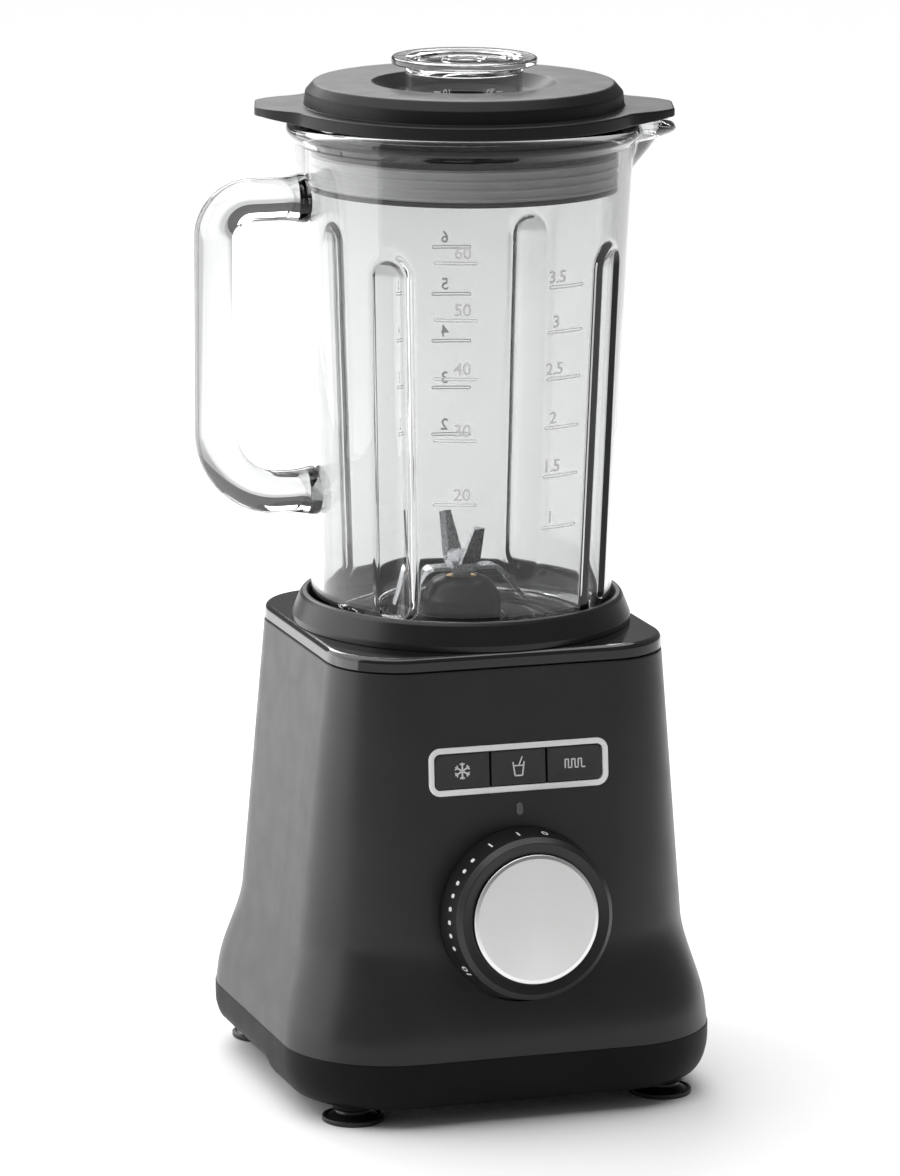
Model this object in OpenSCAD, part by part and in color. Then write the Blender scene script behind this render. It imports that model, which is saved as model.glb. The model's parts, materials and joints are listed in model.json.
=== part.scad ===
// Countertop blender: a motor base with a dial and three buttons, and a lift-off glass jug
// with its blade unit, lid and measuring cap.
// Heights are measured from the surface that the feet stand on, and plan positions from the
// drive axis, which on_axis() places so that the origin is the bottom centre of the whole.

/* [Motor base] */
// Half the width of the housing just under its top cover
top_half = 72.6; // [71.6:0.2:74]
// Outward lean of the housing's faces, in mm per mm of height
side_slope = 0.092; // [0.08:0.002:0.1]
// How far the foot of the housing flares out
flare = 5; // [3:0.5:6]
// Corner radius under the top cover
top_corner = 30; // [26:1:34]
// Height of the seam under the top cover
seam_z = 189.5; // [189:0.5:191]
// Height of the deck that carries the seat ring
deck_z = 196; // [195.5:0.1:196.2]
// Wall thickness of the housing
wall = 2.6; // [2:0.1:3]

/* [Controls] */
// Height of the middle of the button row
buttons_z = 148.2; // [146:0.2:150]
// Width of the button frame
frame_w = 78.2; // [74:0.2:80]
// Height of the button frame
frame_h = 20; // [18:0.2:22]
// Height of the dial's axis at the front face
dial_z = 87.6; // [86:0.2:90]
// Radius of the dial's skirt
dial_r = 36; // [33:0.5:37]
// Radius of the dial's metal face
dial_face_r = 27; // [24:0.5:29]

/* [Jug] */
// Outside radius of the glass at its floor
jug_foot_r = 62.8; // [62:0.1:63]
// Outward taper of the glass, in mm per mm of height
jug_taper = 0.0385; // [0.036:0.0005:0.04]
// Glass thickness
glass = 5; // [4.5:0.1:5.2]
// Height of the top of the rim
rim_z = 408; // [406:0.5:408]
// Distance from the drive axis to the middle of the grip
grip_x = 107.5; // [105:0.5:110]
// Radius of the handle's rod
rod_r = 9; // [8:0.5:9.5]

/* [Lid and cap] */
// Outside radius of the lid's flange
lid_r = 74.2; // [73.8:0.1:75]
// Height of the lid's top surface
lid_z = 423.2; // [422:0.2:424]
// Reach of the lid's two tabs
tab_reach = 87; // [84:0.5:90]
// Angle that the tabs are turned from the spout
tab_angle = -17; // [-30:1:30]
// Outside radius of the measuring cap's body
cap_r = 24.3; // [23.8:0.1:24.4]
// Height of the top of the measuring cap
cap_z = 433.6; // [432:0.2:436]

/* [Blades] */
// Tip radius of the two raised blades
upper_tip_r = 20; // [17:0.5:24]
// Tip height of the two raised blades
upper_tip_z = 239; // [234:0.5:244]
// Tip radius of the two lowered blades
lower_tip_r = 27; // [23:0.5:30]

/* [Hidden] */
$fn = 64;
eps = 0.01;

// Housing form
floor_seam_z = 26;
flare_top = 74;
flare_foot = 36;
corner_growth = 0.13;
corner_limit = 45;
corner_steps = 10;
housing_levels = [floor_seam_z, 31, 36, 41, 46, 51, 56, 61, 67, 74, 110, 150, seam_z];
face_tilt = atan(side_slope);
under_z = 8;
post_r = 9;
foot_x = 68;
foot_y = 66;
screw_at = 50;
screw_r = 1.7;
post_z = 29.3;
post_top_z = 56;
gland_z = 44;
gland_tilt = 12.5;
gland_r = 7;
gland_flange = 3;
gland_gap = 0.05;
board_depth = 10;
board_post_x = 40;
board_post_y = 14;

// Seat for the jug
ring_top_z = 207.8;
ring_top_r = 67.6;
ring_foot_r = 71.3;
ring_bore_r = 64.6;
step_r = 65.2;
step_z = 192.7;
well_r = 46;
well_floor_z = 173.5;
shell = 2.5;

// Controls
frame_lip = 2.4;
frame_proud = 0.8;
frame_corner = 5;
button_gap = 0.4;
button_travel = 1.2;
stem_depth = 4.6;
divider_w = 0.9;
pill_z = 130.8;
knob_gap = 0.8;
knob_depth = 18;
knob_rim_r = dial_r - 2.9;
dial_seat_r = dial_r + 0.8;

// Jug
floor_z = 198;
jug_under_z = 193;
bead_r = 4.2;
flute_r = 7;
flute_out = 3;
flute_foot_z = 216;
flute_top_z = 350;
upper_arm_z = 377.2;
lower_arm_z = 254;
upper_bend = 15;
lower_bend = 27;
boss_r = 36;
boss_bore_r = 31;
boss_z = 185.5;
glass_hole_r = 17.3;
nut_z = 181.5;

// Drive line
shaft_r = 4;
running = 0.04;
stack_z0 = 94;
stack_z1 = 130;
yoke_r = 44;
pole_r = 25.4;
armature_r = 24.8;
bolt_y = 40;
upper_bracket_z = 148;
lower_bracket_z = 58;
plate_t = 4;
coupling_z = 174.3;
tooth_count = 6;

// Overall reach, which fixes the origin
handle_reach = grip_x + rod_r;
gland_reach = half_at(gland_z) + cos(gland_tilt) * (gland_gap + gland_flange) + sin(gland_tilt) * gland_r;
dial_reach = half_at(dial_z) + cos(face_tilt) * (knob_gap + knob_depth + 0.8)
  + sin(face_tilt) * dial_face_r;
axis_x = round(handle_reach - half_at(floor_seam_z)) / 2;
axis_y = round(dial_reach - gland_reach) / 2;

function smooth(t) = let (c = min(max(t, 0), 1)) c * c * (3 - 2 * c);
function half_at(z) = top_half + side_slope * (seam_z - z)
  + flare * smooth((flare_top - z) / (flare_top - flare_foot));
function corner_at(z) = min(corner_limit, top_corner + corner_growth * (seam_z - z));
function jug_r(z) = jug_foot_r + jug_taper * (z - floor_z);

module on_axis() translate([axis_x, axis_y, 0]) children();

// Places children on the leaning front face: X to the right, Y up the face, Z outward.
module on_front(z) translate([0, -half_at(z), z]) rotate([90 - face_tilt, 0, 0]) children();

// Places children on the flared back wall, Z outward.
module on_back(z) translate([0, half_at(z), z]) rotate([gland_tilt - 90, 0, 0]) children();

function ring_points(half, corner, z) = [
  for (quarter = [0:3], step = [0:corner_steps])
    let (a = 90 * quarter + 90 * step / corner_steps, m = half - corner)
      [m * sign(cos(90 * quarter + 45)) + corner * cos(a),
       m * sign(sin(90 * quarter + 45)) + corner * sin(a), z]
];

// A closed solid through rounded squares. Each station is [height, half width, corner radius].
module loft(stations) {
  n = 4 * (corner_steps + 1);
  last = (len(stations) - 1) * n;
  points = [for (s = stations) each ring_points(s[1], s[2], s[0])];
  sides = [
    for (k = [0:len(stations) - 2], i = [0:n - 1])
      let (a = k * n + i, b = k * n + (i + 1) % n)
        each [[a, b + n, b], [a, a + n, b + n]]
  ];
  polyhedron(points, concat([[for (i = [0:n - 1]) i]], [[for (i = [n - 1:-1:0]) last + i]], sides));
}

function body_stations(levels, inset) =
  [for (z = levels) [z, half_at(z) - inset, corner_at(z) - inset]];

module rounded_plate(w, h, r, t) {
  linear_extrude(t) {
    square([w - 2 * r, h], center = true);
    square([w, h - 2 * r], center = true);
    for (x = [-1, 1], y = [-1, 1])
      translate([x * (w / 2 - r), y * (h / 2 - r)]) circle(r);
  }
}

module tube(r_out, r_in, h) {
  difference() {
    cylinder(h = h, r = r_out);
    translate([0, 0, -1]) cylinder(h = h + 2, r = r_in);
  }
}

module cylinder_from(z0, z1, r) translate([0, 0, z0]) cylinder(h = z1 - z0, r = r);

module at_corners(x, y) {
  for (sx = [-1, 1], sy = [-1, 1])
    translate([sx * x, sy * y, 0]) children();
}

// ---- Motor base ----

module housing() color("#2c2d2f") on_axis() {
  difference() {
    union() {
      difference() {
        loft(body_stations(housing_levels, 0));
        loft(body_stations(concat([floor_seam_z - 1], housing_levels, [seam_z + 1]), wall));
      }
      screw_posts();
      on_front(buttons_z) at_corners(board_post_x, board_post_y)
        cylinder_from(-board_depth, -wall / 2, 2.4);
      intersection() {
        loft(body_stations(housing_levels, 0));
        on_front(dial_z) cylinder_from(-wall, 8, dial_seat_r + wall);
      }
    }
    on_front(dial_z) cylinder_from(eps, 10, dial_seat_r);
    on_front(buttons_z) translate([0, 0, -10])
      rounded_plate(frame_w - 2 * frame_lip + 2.4, frame_h - 2 * frame_lip + 2.4, 4, 20);
    on_front(pill_z) translate([0, 0, -10]) rounded_plate(2, 4.6, 0.99, 20);
    on_front(dial_z) translate([0, 0, -10]) cylinder(h = 20, r = 4.8);
    on_back(gland_z) cylinder(h = 20, r = 5.6, center = true);
    at_corners(screw_at, screw_at) cylinder_from(post_z - 1, post_z + 12, screw_r + 0.05);
  }
}

// Posts for the housing screws, each tied to its corner of the wall by a rib.
module screw_posts() {
  rib_end = 1.414 * (half_at(post_top_z) - corner_limit) + corner_limit - wall / 2;
  rib_start = 1.414 * screw_at;
  for (a = [45:90:315]) rotate([0, 0, a]) {
    translate([rib_start, 0, 0]) cylinder_from(post_z, post_top_z, 4.4);
    translate([rib_start, -1.2, post_z]) cube([rib_end - rib_start, 2.4, post_top_z - post_z]);
  }
}

module top_cover() color("#1b1c1e") on_axis() {
  edge = 2.4;
  lip_z = seam_z - 6;
  difference() {
    union() {
      loft(concat(
        [[seam_z + 0.4, half_at(seam_z), corner_at(seam_z)]],
        [for (a = [0:30:90]) [deck_z - edge + edge * sin(a),
          half_at(seam_z) - 0.4 - edge * (1 - cos(a)), corner_at(seam_z) - edge * (1 - cos(a))]]
      ));
      loft([for (z = [lip_z, seam_z + 1]) [z, half_at(seam_z) - wall - 0.4, top_corner - wall]]);
    }
    loft([for (z = [lip_z - 1, deck_z - shell]) [z, half_at(seam_z) - wall - 2.4, top_corner - 5]]);
    translate([0, 0, step_z]) cylinder(h = 20, r = step_r);
  }
  translate([0, 0, step_z - shell]) tube(step_r + shell, step_r, deck_z - step_z + shell - eps);
  translate([0, 0, step_z - shell]) tube(step_r + 1, well_r, shell);
  translate([0, 0, well_floor_z - shell]) tube(well_r + shell, well_r, step_z - well_floor_z + shell);
  translate([0, 0, well_floor_z - shell]) tube(well_r + 1, 9, shell);
}

module seat_ring() color("#232426") on_axis() {
  rotate_extrude() polygon([
    [ring_bore_r, deck_z], [ring_foot_r, deck_z], [ring_foot_r, deck_z + 2.6],
    [ring_top_r + 0.6, ring_top_z - 1], [ring_top_r - 0.4, ring_top_z],
    [ring_bore_r + 0.6, ring_top_z], [ring_bore_r, ring_top_z - 0.8]
  ]);
}

module bottom_cover() color("#1d1e20") on_axis() {
  top = floor_seam_z - 0.4;
  shoulder = 24;
  turn_in = 8;
  difference() {
    union() {
      loft(concat(
        [for (a = [90:-15:0]) [shoulder - (shoulder - under_z) * sin(a),
          half_at(floor_seam_z) - turn_in * (1 - cos(a)), corner_limit - turn_in * (1 - cos(a))]],
        [[top, half_at(floor_seam_z), corner_limit]]
      ));
      at_corners(foot_x, foot_y) translate([0, 0, 5]) cylinder(h = 8, r = post_r);
    }
    loft([for (s = [[under_z + 3, 12], [shoulder - 8, 5], [shoulder, 3], [top + 1, 3]])
      [s[0], half_at(floor_seam_z) - s[1], corner_limit - s[1]]]);
    at_corners(foot_x, foot_y) translate([0, 0, 4]) cylinder(h = 5, r = 3.1);
    at_corners(screw_at, screw_at) {
      cylinder(h = 20, r = 1.9);
      translate([0, 0, under_z - 1]) cylinder(h = 2.2, r = 3.4);
    }
    for (x = [-24:8:24])
      translate([x - 1.5, -30, under_z - 1]) cube([3, 60, 5]);
  }
  at_corners(screw_at, screw_at) translate([0, 0, under_z + 3 - eps]) tube(4.4, 1.9, 18);
}

module foot(sx, sy) color("#141516") on_axis() translate([sx * foot_x, sy * foot_y, 0]) {
  difference() {
    union() {
      cylinder(h = 1.2, r = 13);
      translate([0, 0, 1.2]) cylinder(h = 2.6, r1 = 13, r2 = 6.4);
      cylinder(h = 5, r = 6.4);
      cylinder(h = 8.6, r = 3);
    }
    translate([0, 0, -1]) cylinder(h = 2, r = 9.5);
  }
}

module housing_screws() color("#9a9c9f") on_axis()
  at_corners(screw_at, screw_at) {
    translate([0, 0, under_z - 0.8]) cylinder(h = 2, r = 3.2);
    cylinder_from(under_z + 1, post_z + 8, screw_r);
  }

module cord_gland() color("#141516") on_axis() on_back(gland_z)
  difference() {
    union() {
      translate([0, 0, gland_gap]) cylinder(h = gland_flange, r = gland_r);
      cylinder_from(-7, gland_gap + 1, 5.4);
    }
    cylinder_from(-8, 5, 3.6);
  }

// ---- Controls ----

module button_frame() color("#d8d9da") on_axis() on_front(buttons_z)
  difference() {
    union() {
      rounded_plate(frame_w, frame_h, frame_corner, frame_proud);
      translate([0, 0, -4]) rounded_plate(frame_w - 2 * frame_lip + 2, frame_h - 2 * frame_lip + 2,
        frame_corner - frame_lip + 1, 4.2);
    }
    translate([0, 0, -5]) rounded_plate(frame_w - 2 * frame_lip, frame_h - 2 * frame_lip,
      frame_corner - frame_lip, 8);
  }

module indicator_mark() color("#3a3b3d") on_axis() on_front(pill_z) {
  translate([0, 0, eps]) rounded_plate(2.8, 5.4, 1.39, 0.5);
  translate([0, 0, -2]) rounded_plate(1.9, 4.5, 0.94, 2.2);
}

// place is -1 for the left button, 0 for the middle one and 1 for the right one.
module button_cap(place) color("#1e1f21") on_axis() on_front(buttons_z) {
  inner_w = frame_w - 2 * frame_lip;
  inner_h = frame_h - 2 * frame_lip - 2 * button_gap;
  r = frame_corner - frame_lip - button_gap;
  mid_w = inner_w / 3 - divider_w;
  end_w = (inner_w - mid_w - 2 * divider_w) / 2 - button_gap;
  end_x = mid_w / 2 + divider_w;
  translate([0, 0, -2.8]) {
    if (place == 0) translate([-mid_w / 2, -inner_h / 2, 0]) cube([mid_w, inner_h, 2.8]);
    else intersection() {
      rounded_plate(inner_w - 2 * button_gap, inner_h, r, 2.8);
      translate([place > 0 ? end_x : -end_x - end_w, -inner_h / 2, 0]) cube([end_w, inner_h, 2.8]);
    }
  }
  translate([place * (end_x + end_w / 2), 0, -stem_depth]) cylinder(h = 2, r = 1.8);
}

module control_board() color("#1f5a3a") on_axis() on_front(buttons_z) {
  translate([0, 0, -board_depth - 1.6]) rounded_plate(88, 34, 2, 1.6);
}

module tact_switches() color("#2a2a2c") on_axis() on_front(buttons_z)
  for (place = [-1:1]) translate([place * 24.6, 0, -board_depth]) {
    translate([-3, -3, 0]) cube([6, 6, 3.2]);
    cylinder(h = board_depth - stem_depth - button_travel - 0.2, r = 1.4);
  }

module rotary_switch() color("#3b3b3e") on_axis() on_front(dial_z) {
  difference() {
    union() {
      translate([-14, -14, -19]) cube([28, 28, 16]);
      translate([0, 0, -4]) cylinder(h = 4.6, r = 4.6);
    }
    translate([0, 0, -16]) cylinder(h = 20, r = 3 + running);
  }
}

module dial_knob() color("#232427") on_axis() on_front(dial_z) translate([0, 0, knob_gap])
  difference() {
    rotate_extrude() difference() {
      polygon([
        [0, 0], [dial_r, 0], [dial_r, 2.4], [knob_rim_r + 0.4, knob_depth - 1.2],
        [knob_rim_r - 0.6, knob_depth], [dial_face_r + 0.2, knob_depth],
        [dial_face_r + 0.2, knob_depth - 1.4], [0, knob_depth - 1.4]
      ]);
      polygon([[7, -1], [dial_r - 2.6, -1], [dial_r - 2.6, 2.4],
        [knob_rim_r - 2.4, knob_depth - 4], [7, knob_depth - 4]]);
    }
    translate([0, 0, -1]) cylinder(h = 12.6, r = 3);
  }

module dial_face() color("#c9cacc") on_axis() on_front(dial_z)
  translate([0, 0, knob_gap + knob_depth - 1.4]) cylinder(h = 2.2, r = dial_face_r);

module dial_shaft() color("#8f9194") on_axis() on_front(dial_z)
  translate([0, 0, -15.6]) cylinder(h = 15.6 + knob_gap + 10.4, r = 3);

// ---- Motor ----

module stator() color("#77797c") on_axis() translate([0, 0, stack_z0]) {
  difference() {
    linear_extrude(stack_z1 - stack_z0) difference() {
      union() {
        difference() {
          circle(yoke_r);
          circle(36);
        }
        intersection() {
          circle(38);
          square([76, 24], center = true);
        }
        intersection() {
          circle(pole_r + 1.4);
          square([60, 40], center = true);
        }
      }
      circle(pole_r);
    }
    for (y = [-bolt_y, bolt_y])
      translate([0, y, -1]) cylinder(h = 60, r = 2.2);
  }
}

module field_coils() color("#b0672f") on_axis()
  for (s = [-1, 1]) translate([s * 29.3, 0, (stack_z0 + stack_z1) / 2]) difference() {
    cube([3.8, 34.5, 52], center = true);
    cube([6, 24.4, stack_z1 - stack_z0 + 0.4], center = true);
  }

module motor_bracket_top() color("#9b9da0") on_axis() {
  translate([0, 0, upper_bracket_z]) difference() {
    cylinder(h = plate_t, r = 47);
    translate([0, 0, -1]) cylinder(h = 10, r = 11.05);
    for (y = [-bolt_y, bolt_y])
      translate([0, y, -1]) cylinder(h = 10, r = 2.2);
    for (a = [0, 180])
      rotate([0, 0, a]) translate([28, 0, -1]) cylinder(h = 10, r = 9);
  }
  for (y = [-bolt_y, bolt_y])
    translate([0, y, stack_z1]) tube(3.9, 2.2, upper_bracket_z - stack_z1);
}

module motor_bracket_bottom() color("#9b9da0") on_axis() {
  translate([0, 0, lower_bracket_z]) difference() {
    union() {
      translate([-10, -46, 0]) cube([20, 92, plate_t]);
      translate([-38, -9, 0]) cube([76, 18, plate_t]);
      cylinder(h = plate_t, r = 16);
    }
    translate([0, 0, -1]) cylinder(h = 10, r = 11.05);
    for (y = [-bolt_y, bolt_y])
      translate([0, y, -1]) cylinder(h = 10, r = 2.2);
  }
  for (y = [-bolt_y, bolt_y])
    translate([0, y, lower_bracket_z + plate_t]) tube(3.9, 2.2, stack_z0 - lower_bracket_z - plate_t);
}

module motor_bearing_top() color("#c3c5c8") on_axis()
  translate([0, 0, upper_bracket_z - 1.5]) tube(11, shaft_r + running, 7);

module motor_bearing_bottom() color("#c3c5c8") on_axis()
  translate([0, 0, lower_bracket_z - 1.5]) tube(11, shaft_r + running, 7);

module brush_holders() color("#8a6a34") on_axis()
  for (a = [0, 180]) rotate([0, 0, a]) {
    difference() {
      translate([16, -5, 71]) cube([18, 10, 10]);
      translate([15, -3.2, 72.8]) cube([20, 6.4, 6.4]);
    }
    translate([24, -4, lower_bracket_z + plate_t]) cube([6, 8, 71 - lower_bracket_z - plate_t]);
  }

module carbon_brushes() color("#3a3a3a") on_axis()
  for (a = [0, 180]) rotate([0, 0, a])
    translate([13.4, -3.1, 72.9]) cube([14, 6.2, 6.2]);

module motor_dampers() color("#1a1a1b") on_axis() {
  z0 = upper_bracket_z + plate_t;
  at_corners(28, 28) cylinder_from(z0, well_floor_z - shell, 6);
}

module motor_bolts() color("#a6a8ab") on_axis()
  for (y = [-bolt_y, bolt_y]) translate([0, y, 0]) {
    cylinder_from(lower_bracket_z - 2.6, lower_bracket_z, 3.6);
    cylinder_from(lower_bracket_z - 1, upper_bracket_z + plate_t + 4, 2);
  }

module motor_shaft() color("#b9bbbe") on_axis()
  cylinder_from(40, coupling_z + 8, shaft_r);

module armature() color("#6d6f73") on_axis() {
  difference() {
    cylinder_from(stack_z0 - 1, stack_z1 + 1, armature_r);
    cylinder_from(stack_z0 - 2, stack_z1 + 2, shaft_r);
    for (a = [0:30:330]) rotate([0, 0, a])
      translate([19, -1, stack_z0 - 2]) cube([10, 2, stack_z1 - stack_z0 + 4]);
  }
  for (z = [stack_z0 - 6, stack_z1 + 1])
    translate([0, 0, z]) tube(18.5, shaft_r, 5);
}

module commutator() color("#b87333") on_axis()
  difference() {
    translate([0, 0, 68]) tube(13, shaft_r, 16);
    for (a = [0:15:345]) rotate([0, 0, a])
      translate([12, -0.3, 67]) cube([3, 0.6, 18]);
  }

module cooling_fan() color("#303134") on_axis() {
  translate([0, 0, 42]) tube(7, shaft_r, 12);
  translate([0, 0, 42]) tube(40, 6, 1.6);
  for (a = [0:30:330]) rotate([0, 0, a])
    translate([6.5, -0.8, 43]) cube([33, 1.6, 10.5]);
}

// Six-toothed star shared by the two halves of the coupling. grow widens it for the socket.
module star(h, grow) {
  cylinder(h = h, r = 6.6 + grow);
  for (a = [0:360 / tooth_count:359]) rotate([0, 0, a])
    translate([0, -1.5 - grow, 0]) cube([10 + grow, 3 + 2 * grow, h]);
}

module drive_coupling() color("#27282a") on_axis() translate([0, 0, coupling_z])
  difference() {
    union() {
      cylinder(h = 2.2, r = 12);
      star(9.4, 0);
    }
    translate([0, 0, -1]) cylinder(h = 9, r = shaft_r);
  }

module driven_coupling() color("#a9abae") on_axis() translate([0, 0, coupling_z + 2.6])
  difference() {
    cylinder(h = 8.4, r = 14);
    translate([0, 0, -1]) star(8.2, 0.4);
    translate([0, 0, 6]) cylinder(h = 4, r = shaft_r);
  }

// ---- Jug ----

module flute_bar(r) {
  lean = atan(jug_taper);
  for (a = [45:90:315]) rotate([0, 0, a])
    translate([jug_r(flute_foot_z) + flute_out, 0, flute_foot_z]) rotate([0, lean, 0]) {
      cylinder(h = (flute_top_z - flute_foot_z) / cos(lean), r = r);
      sphere(r);
      translate([0, 0, (flute_top_z - flute_foot_z) / cos(lean)]) sphere(r);
    }
}

module handle_bend(x, z, r, turn)
  translate([x, 0, z]) rotate([90, 0, 0]) rotate([0, 0, turn])
    rotate_extrude(angle = 90) translate([r, 0]) circle(rod_r);

module handle() {
  bend_x = -grip_x + upper_bend;
  low_x = -grip_x + lower_bend;
  translate([bend_x, 0, upper_arm_z]) rotate([0, 90, 0]) cylinder(h = -bend_x - 60, r = rod_r);
  translate([low_x, 0, lower_arm_z]) rotate([0, 90, 0]) cylinder(h = -low_x - 58, r = rod_r);
  handle_bend(bend_x, upper_arm_z - upper_bend, upper_bend, 90);
  handle_bend(low_x, lower_arm_z + lower_bend, lower_bend, 180);
  translate([-grip_x, 0, lower_arm_z + lower_bend])
    cylinder(h = upper_arm_z - upper_bend - lower_arm_z - lower_bend, r = rod_r);
  for (z = [upper_arm_z, lower_arm_z])
    translate([-jug_r(z) - 6, 0, z]) rotate([0, 90, 0]) cylinder(h = 9, r1 = rod_r + 0.01, r2 = 13);
}

module glass_jug() color([0.8, 0.85, 0.87, 0.4]) on_axis() {
  rim_mid = rim_z - bead_r;
  difference() {
    union() {
      rotate_extrude($fn = 128) {
        polygon([[0, jug_under_z], [jug_foot_r - 6, jug_under_z], [jug_foot_r - 6, 199],
          [jug_r(199), 199], [jug_r(rim_mid), rim_mid], [0, rim_mid]]);
        translate([jug_foot_r - 6, 199]) circle(6);
        translate([jug_r(rim_mid) - glass + bead_r, rim_mid]) circle(bead_r);
      }
      handle();
      translate([60, 0, 385]) cylinder(h = 19, r1 = 12, r2 = 28.5);
      cylinder_from(boss_z, jug_under_z + 1, boss_r);
    }
    difference() {
      rotate_extrude($fn = 128) {
        polygon([[0, floor_z], [jug_r(208) - glass - 10, floor_z], [jug_r(208) - glass - 10, 208],
          [jug_r(208) - glass, 208], [jug_r(rim_mid) - glass, rim_mid],
          [jug_r(rim_mid) - glass, rim_z + 1], [0, rim_z + 1]]);
        translate([jug_r(208) - glass - 10, 208]) circle(10);
      }
      flute_bar(flute_r + 4);
    }
    flute_bar(flute_r);
    translate([57, 0, 386]) cylinder(h = 23, r1 = 10, r2 = 28.5);
    cylinder_from(boss_z - 1, jug_under_z, boss_bore_r);
    cylinder_from(jug_under_z - 1, floor_z + 1, glass_hole_r);
  }
}

module blade_base() color("#17181a") on_axis()
  difference() {
    union() {
      cylinder_from(185.4, 191, 30.4);
      cylinder_from(190, 206, 16.8);
      intersection() {
        translate([0, 0, 203.6]) sphere(16.8 * 0.75 + 0.2);
        cylinder_from(200, 216, 16.8);
      }
      translate([0, 0, 205]) cylinder(h = 6, r1 = 16.8, r2 = 11.6);
    }
    cylinder_from(180, 220, 6.55);
  }

module blade_bush() color("#a5803f") on_axis()
  translate([0, 0, 186]) tube(6.5, shaft_r + running, 28);

module blade_gasket() color("#4a4b4d") on_axis()
  translate([0, 0, 191]) tube(30.4, 17.4, jug_under_z - 191);

module jug_nut() color("#202123") on_axis() {
  difference() {
    cylinder_from(nut_z, 191.6, 41.5);
    cylinder_from(nut_z + 3.8, 193, boss_r + 0.3);
    cylinder_from(nut_z - 1, 193, 24);
    for (a = [0:30:330]) rotate([0, 0, a])
      translate([42.6, 0, nut_z - 1]) cylinder(h = 12, r = 2.4);
  }
}

module blade_shaft() color("#b9bbbe") on_axis()
  cylinder_from(184, 223.6, shaft_r);

module blade_disc(z) translate([0, 0, z]) tube(7.4, shaft_r, 1.6);

// One arm of a blade in the XZ plane: a flat root and a bent tip of width w tapering to tip_w.
module blade_arm(z, bend_r, tip_r, tip_z, w, tip_w) {
  run = tip_r - bend_r;
  rise = tip_z - z;
  reach = sqrt(run * run + rise * rise);
  translate([shaft_r + 0.4, -w / 2, z]) cube([bend_r - shaft_r - 0.4 + 0.4, w, 1.6]);
  translate([bend_r, 0, z]) rotate([0, -atan2(rise, run), 0]) linear_extrude(1.6)
    polygon([[0, -w / 2], [reach, -w / 2], [reach, -w / 2 + tip_w], [0, w / 2]]);
}

module lower_blade() color("#c6c8ca") on_axis() {
  blade_disc(217);
  for (a = [0, 180]) rotate([0, 0, a]) blade_arm(217, 15, lower_tip_r, 202.4, 9, 5);
}

module blade_spacer() color("#b1b3b6") on_axis()
  translate([0, 0, 218.6]) tube(6.6, shaft_r, 1.2);

module upper_blade() color("#c6c8ca") on_axis() {
  blade_disc(219.8);
  for (a = [100, 280]) rotate([0, 0, a])
    blade_arm(219.8, 7.6, upper_tip_r, upper_tip_z - 1, 9, 5);
}

module blade_nut() color("#d0d1d3") on_axis() {
  difference() {
    translate([0, 0, 221.4]) cylinder(h = 3, r = 6.2, $fn = 6);
    cylinder_from(221, 223.6, shaft_r);
  }
}

// ---- Lid ----

module lid_tab() {
  base_r = lid_r - 4;
  run = tab_reach - base_r;
  tip_half = 15;
  base_half = 30;
  round_tip = 3;
  flank = [for (t = [0:0.1:0.8]) [base_r + t * run,
    tip_half + (base_half - tip_half) * (0.5 + 0.5 * cos(180 * min(1, t * 1.2)))]];
  tip = [for (a = [90:-30:0]) [tab_reach - round_tip + round_tip * cos(a),
    tip_half - round_tip + round_tip * sin(a)]];
  side = concat(flank, tip);
  translate([0, 0, lid_z - 13]) linear_extrude(3.4)
    polygon(concat(side, [for (i = [len(side) - 1:-1:0]) [side[i][0], -side[i][1]]]));
}

module lid() color("#1c1d1f") on_axis() {
  flange_z = rim_z + 0.3;
  plug_z = 395.3;
  neck_r = cap_r + 0.5;
  for (a = [0, 180]) rotate([0, 0, tab_angle + a]) lid_tab();
  rotate_extrude($fn = 128) difference() {
    union() {
      polygon([
        [neck_r, 392.4], [neck_r + 2.2, 392.4], [neck_r + 2.2, 408],
        [58.4, 408], [58.4, 380], [60.8, 380], [60.8, plug_z], [63.6, plug_z],
        [63.6, flange_z], [lid_r, flange_z], [lid_r, 413.7], [66.5, 413.7], [65.9, 418.6],
        [61.4, lid_z], [37.9, lid_z], [31, 418.2], [neck_r + 1.6, 416], [neck_r, 416]
      ]);
      translate([61.4, 418.6]) circle(4.6);
    }
    polygon([
      [neck_r + 2.2, 390], [58.4, 390], [58.4, 413], [61.6, 418], [60, lid_z - 2.5],
      [39, lid_z - 2.5], [32, 415.6], [neck_r + 2.2, 413.4]
    ]);
  }
  translate([0, 0, 392.4]) tube(neck_r + 1, 21.6, 2);
}

module lid_sleeve() color([0.85, 0.87, 0.87, 0.7]) on_axis()
  rotate_extrude($fn = 128) union() {
    translate([61, 381.8]) square([2.4, 13.3]);
    for (z = [382.4:3.7:394])
      translate([63, z]) square([1.4, 1.2]);
  }

module lid_seal_ring() color("#2b2c2e") on_axis()
  translate([0, 0, 379.8]) rotate_extrude($fn = 128)
    translate([61, 0]) square([3.2, 1.8]);

module measuring_cap() color([0.85, 0.88, 0.9, 0.45]) on_axis()
  rotate_extrude($fn = 96) polygon([
    [0, cap_z - 4], [20.6, cap_z - 4], [cap_r - 2.3, cap_z - 6], [cap_r - 2.3, 394.8],
    [cap_r, 394.8], [cap_r, cap_z - 2.9], [30, cap_z - 2.9], [30.3, cap_z - 2.4],
    [30.3, cap_z - 0.4], [29.9, cap_z], [24, cap_z], [23, cap_z - 1.2], [0, cap_z - 1.2]
  ]);

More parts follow.
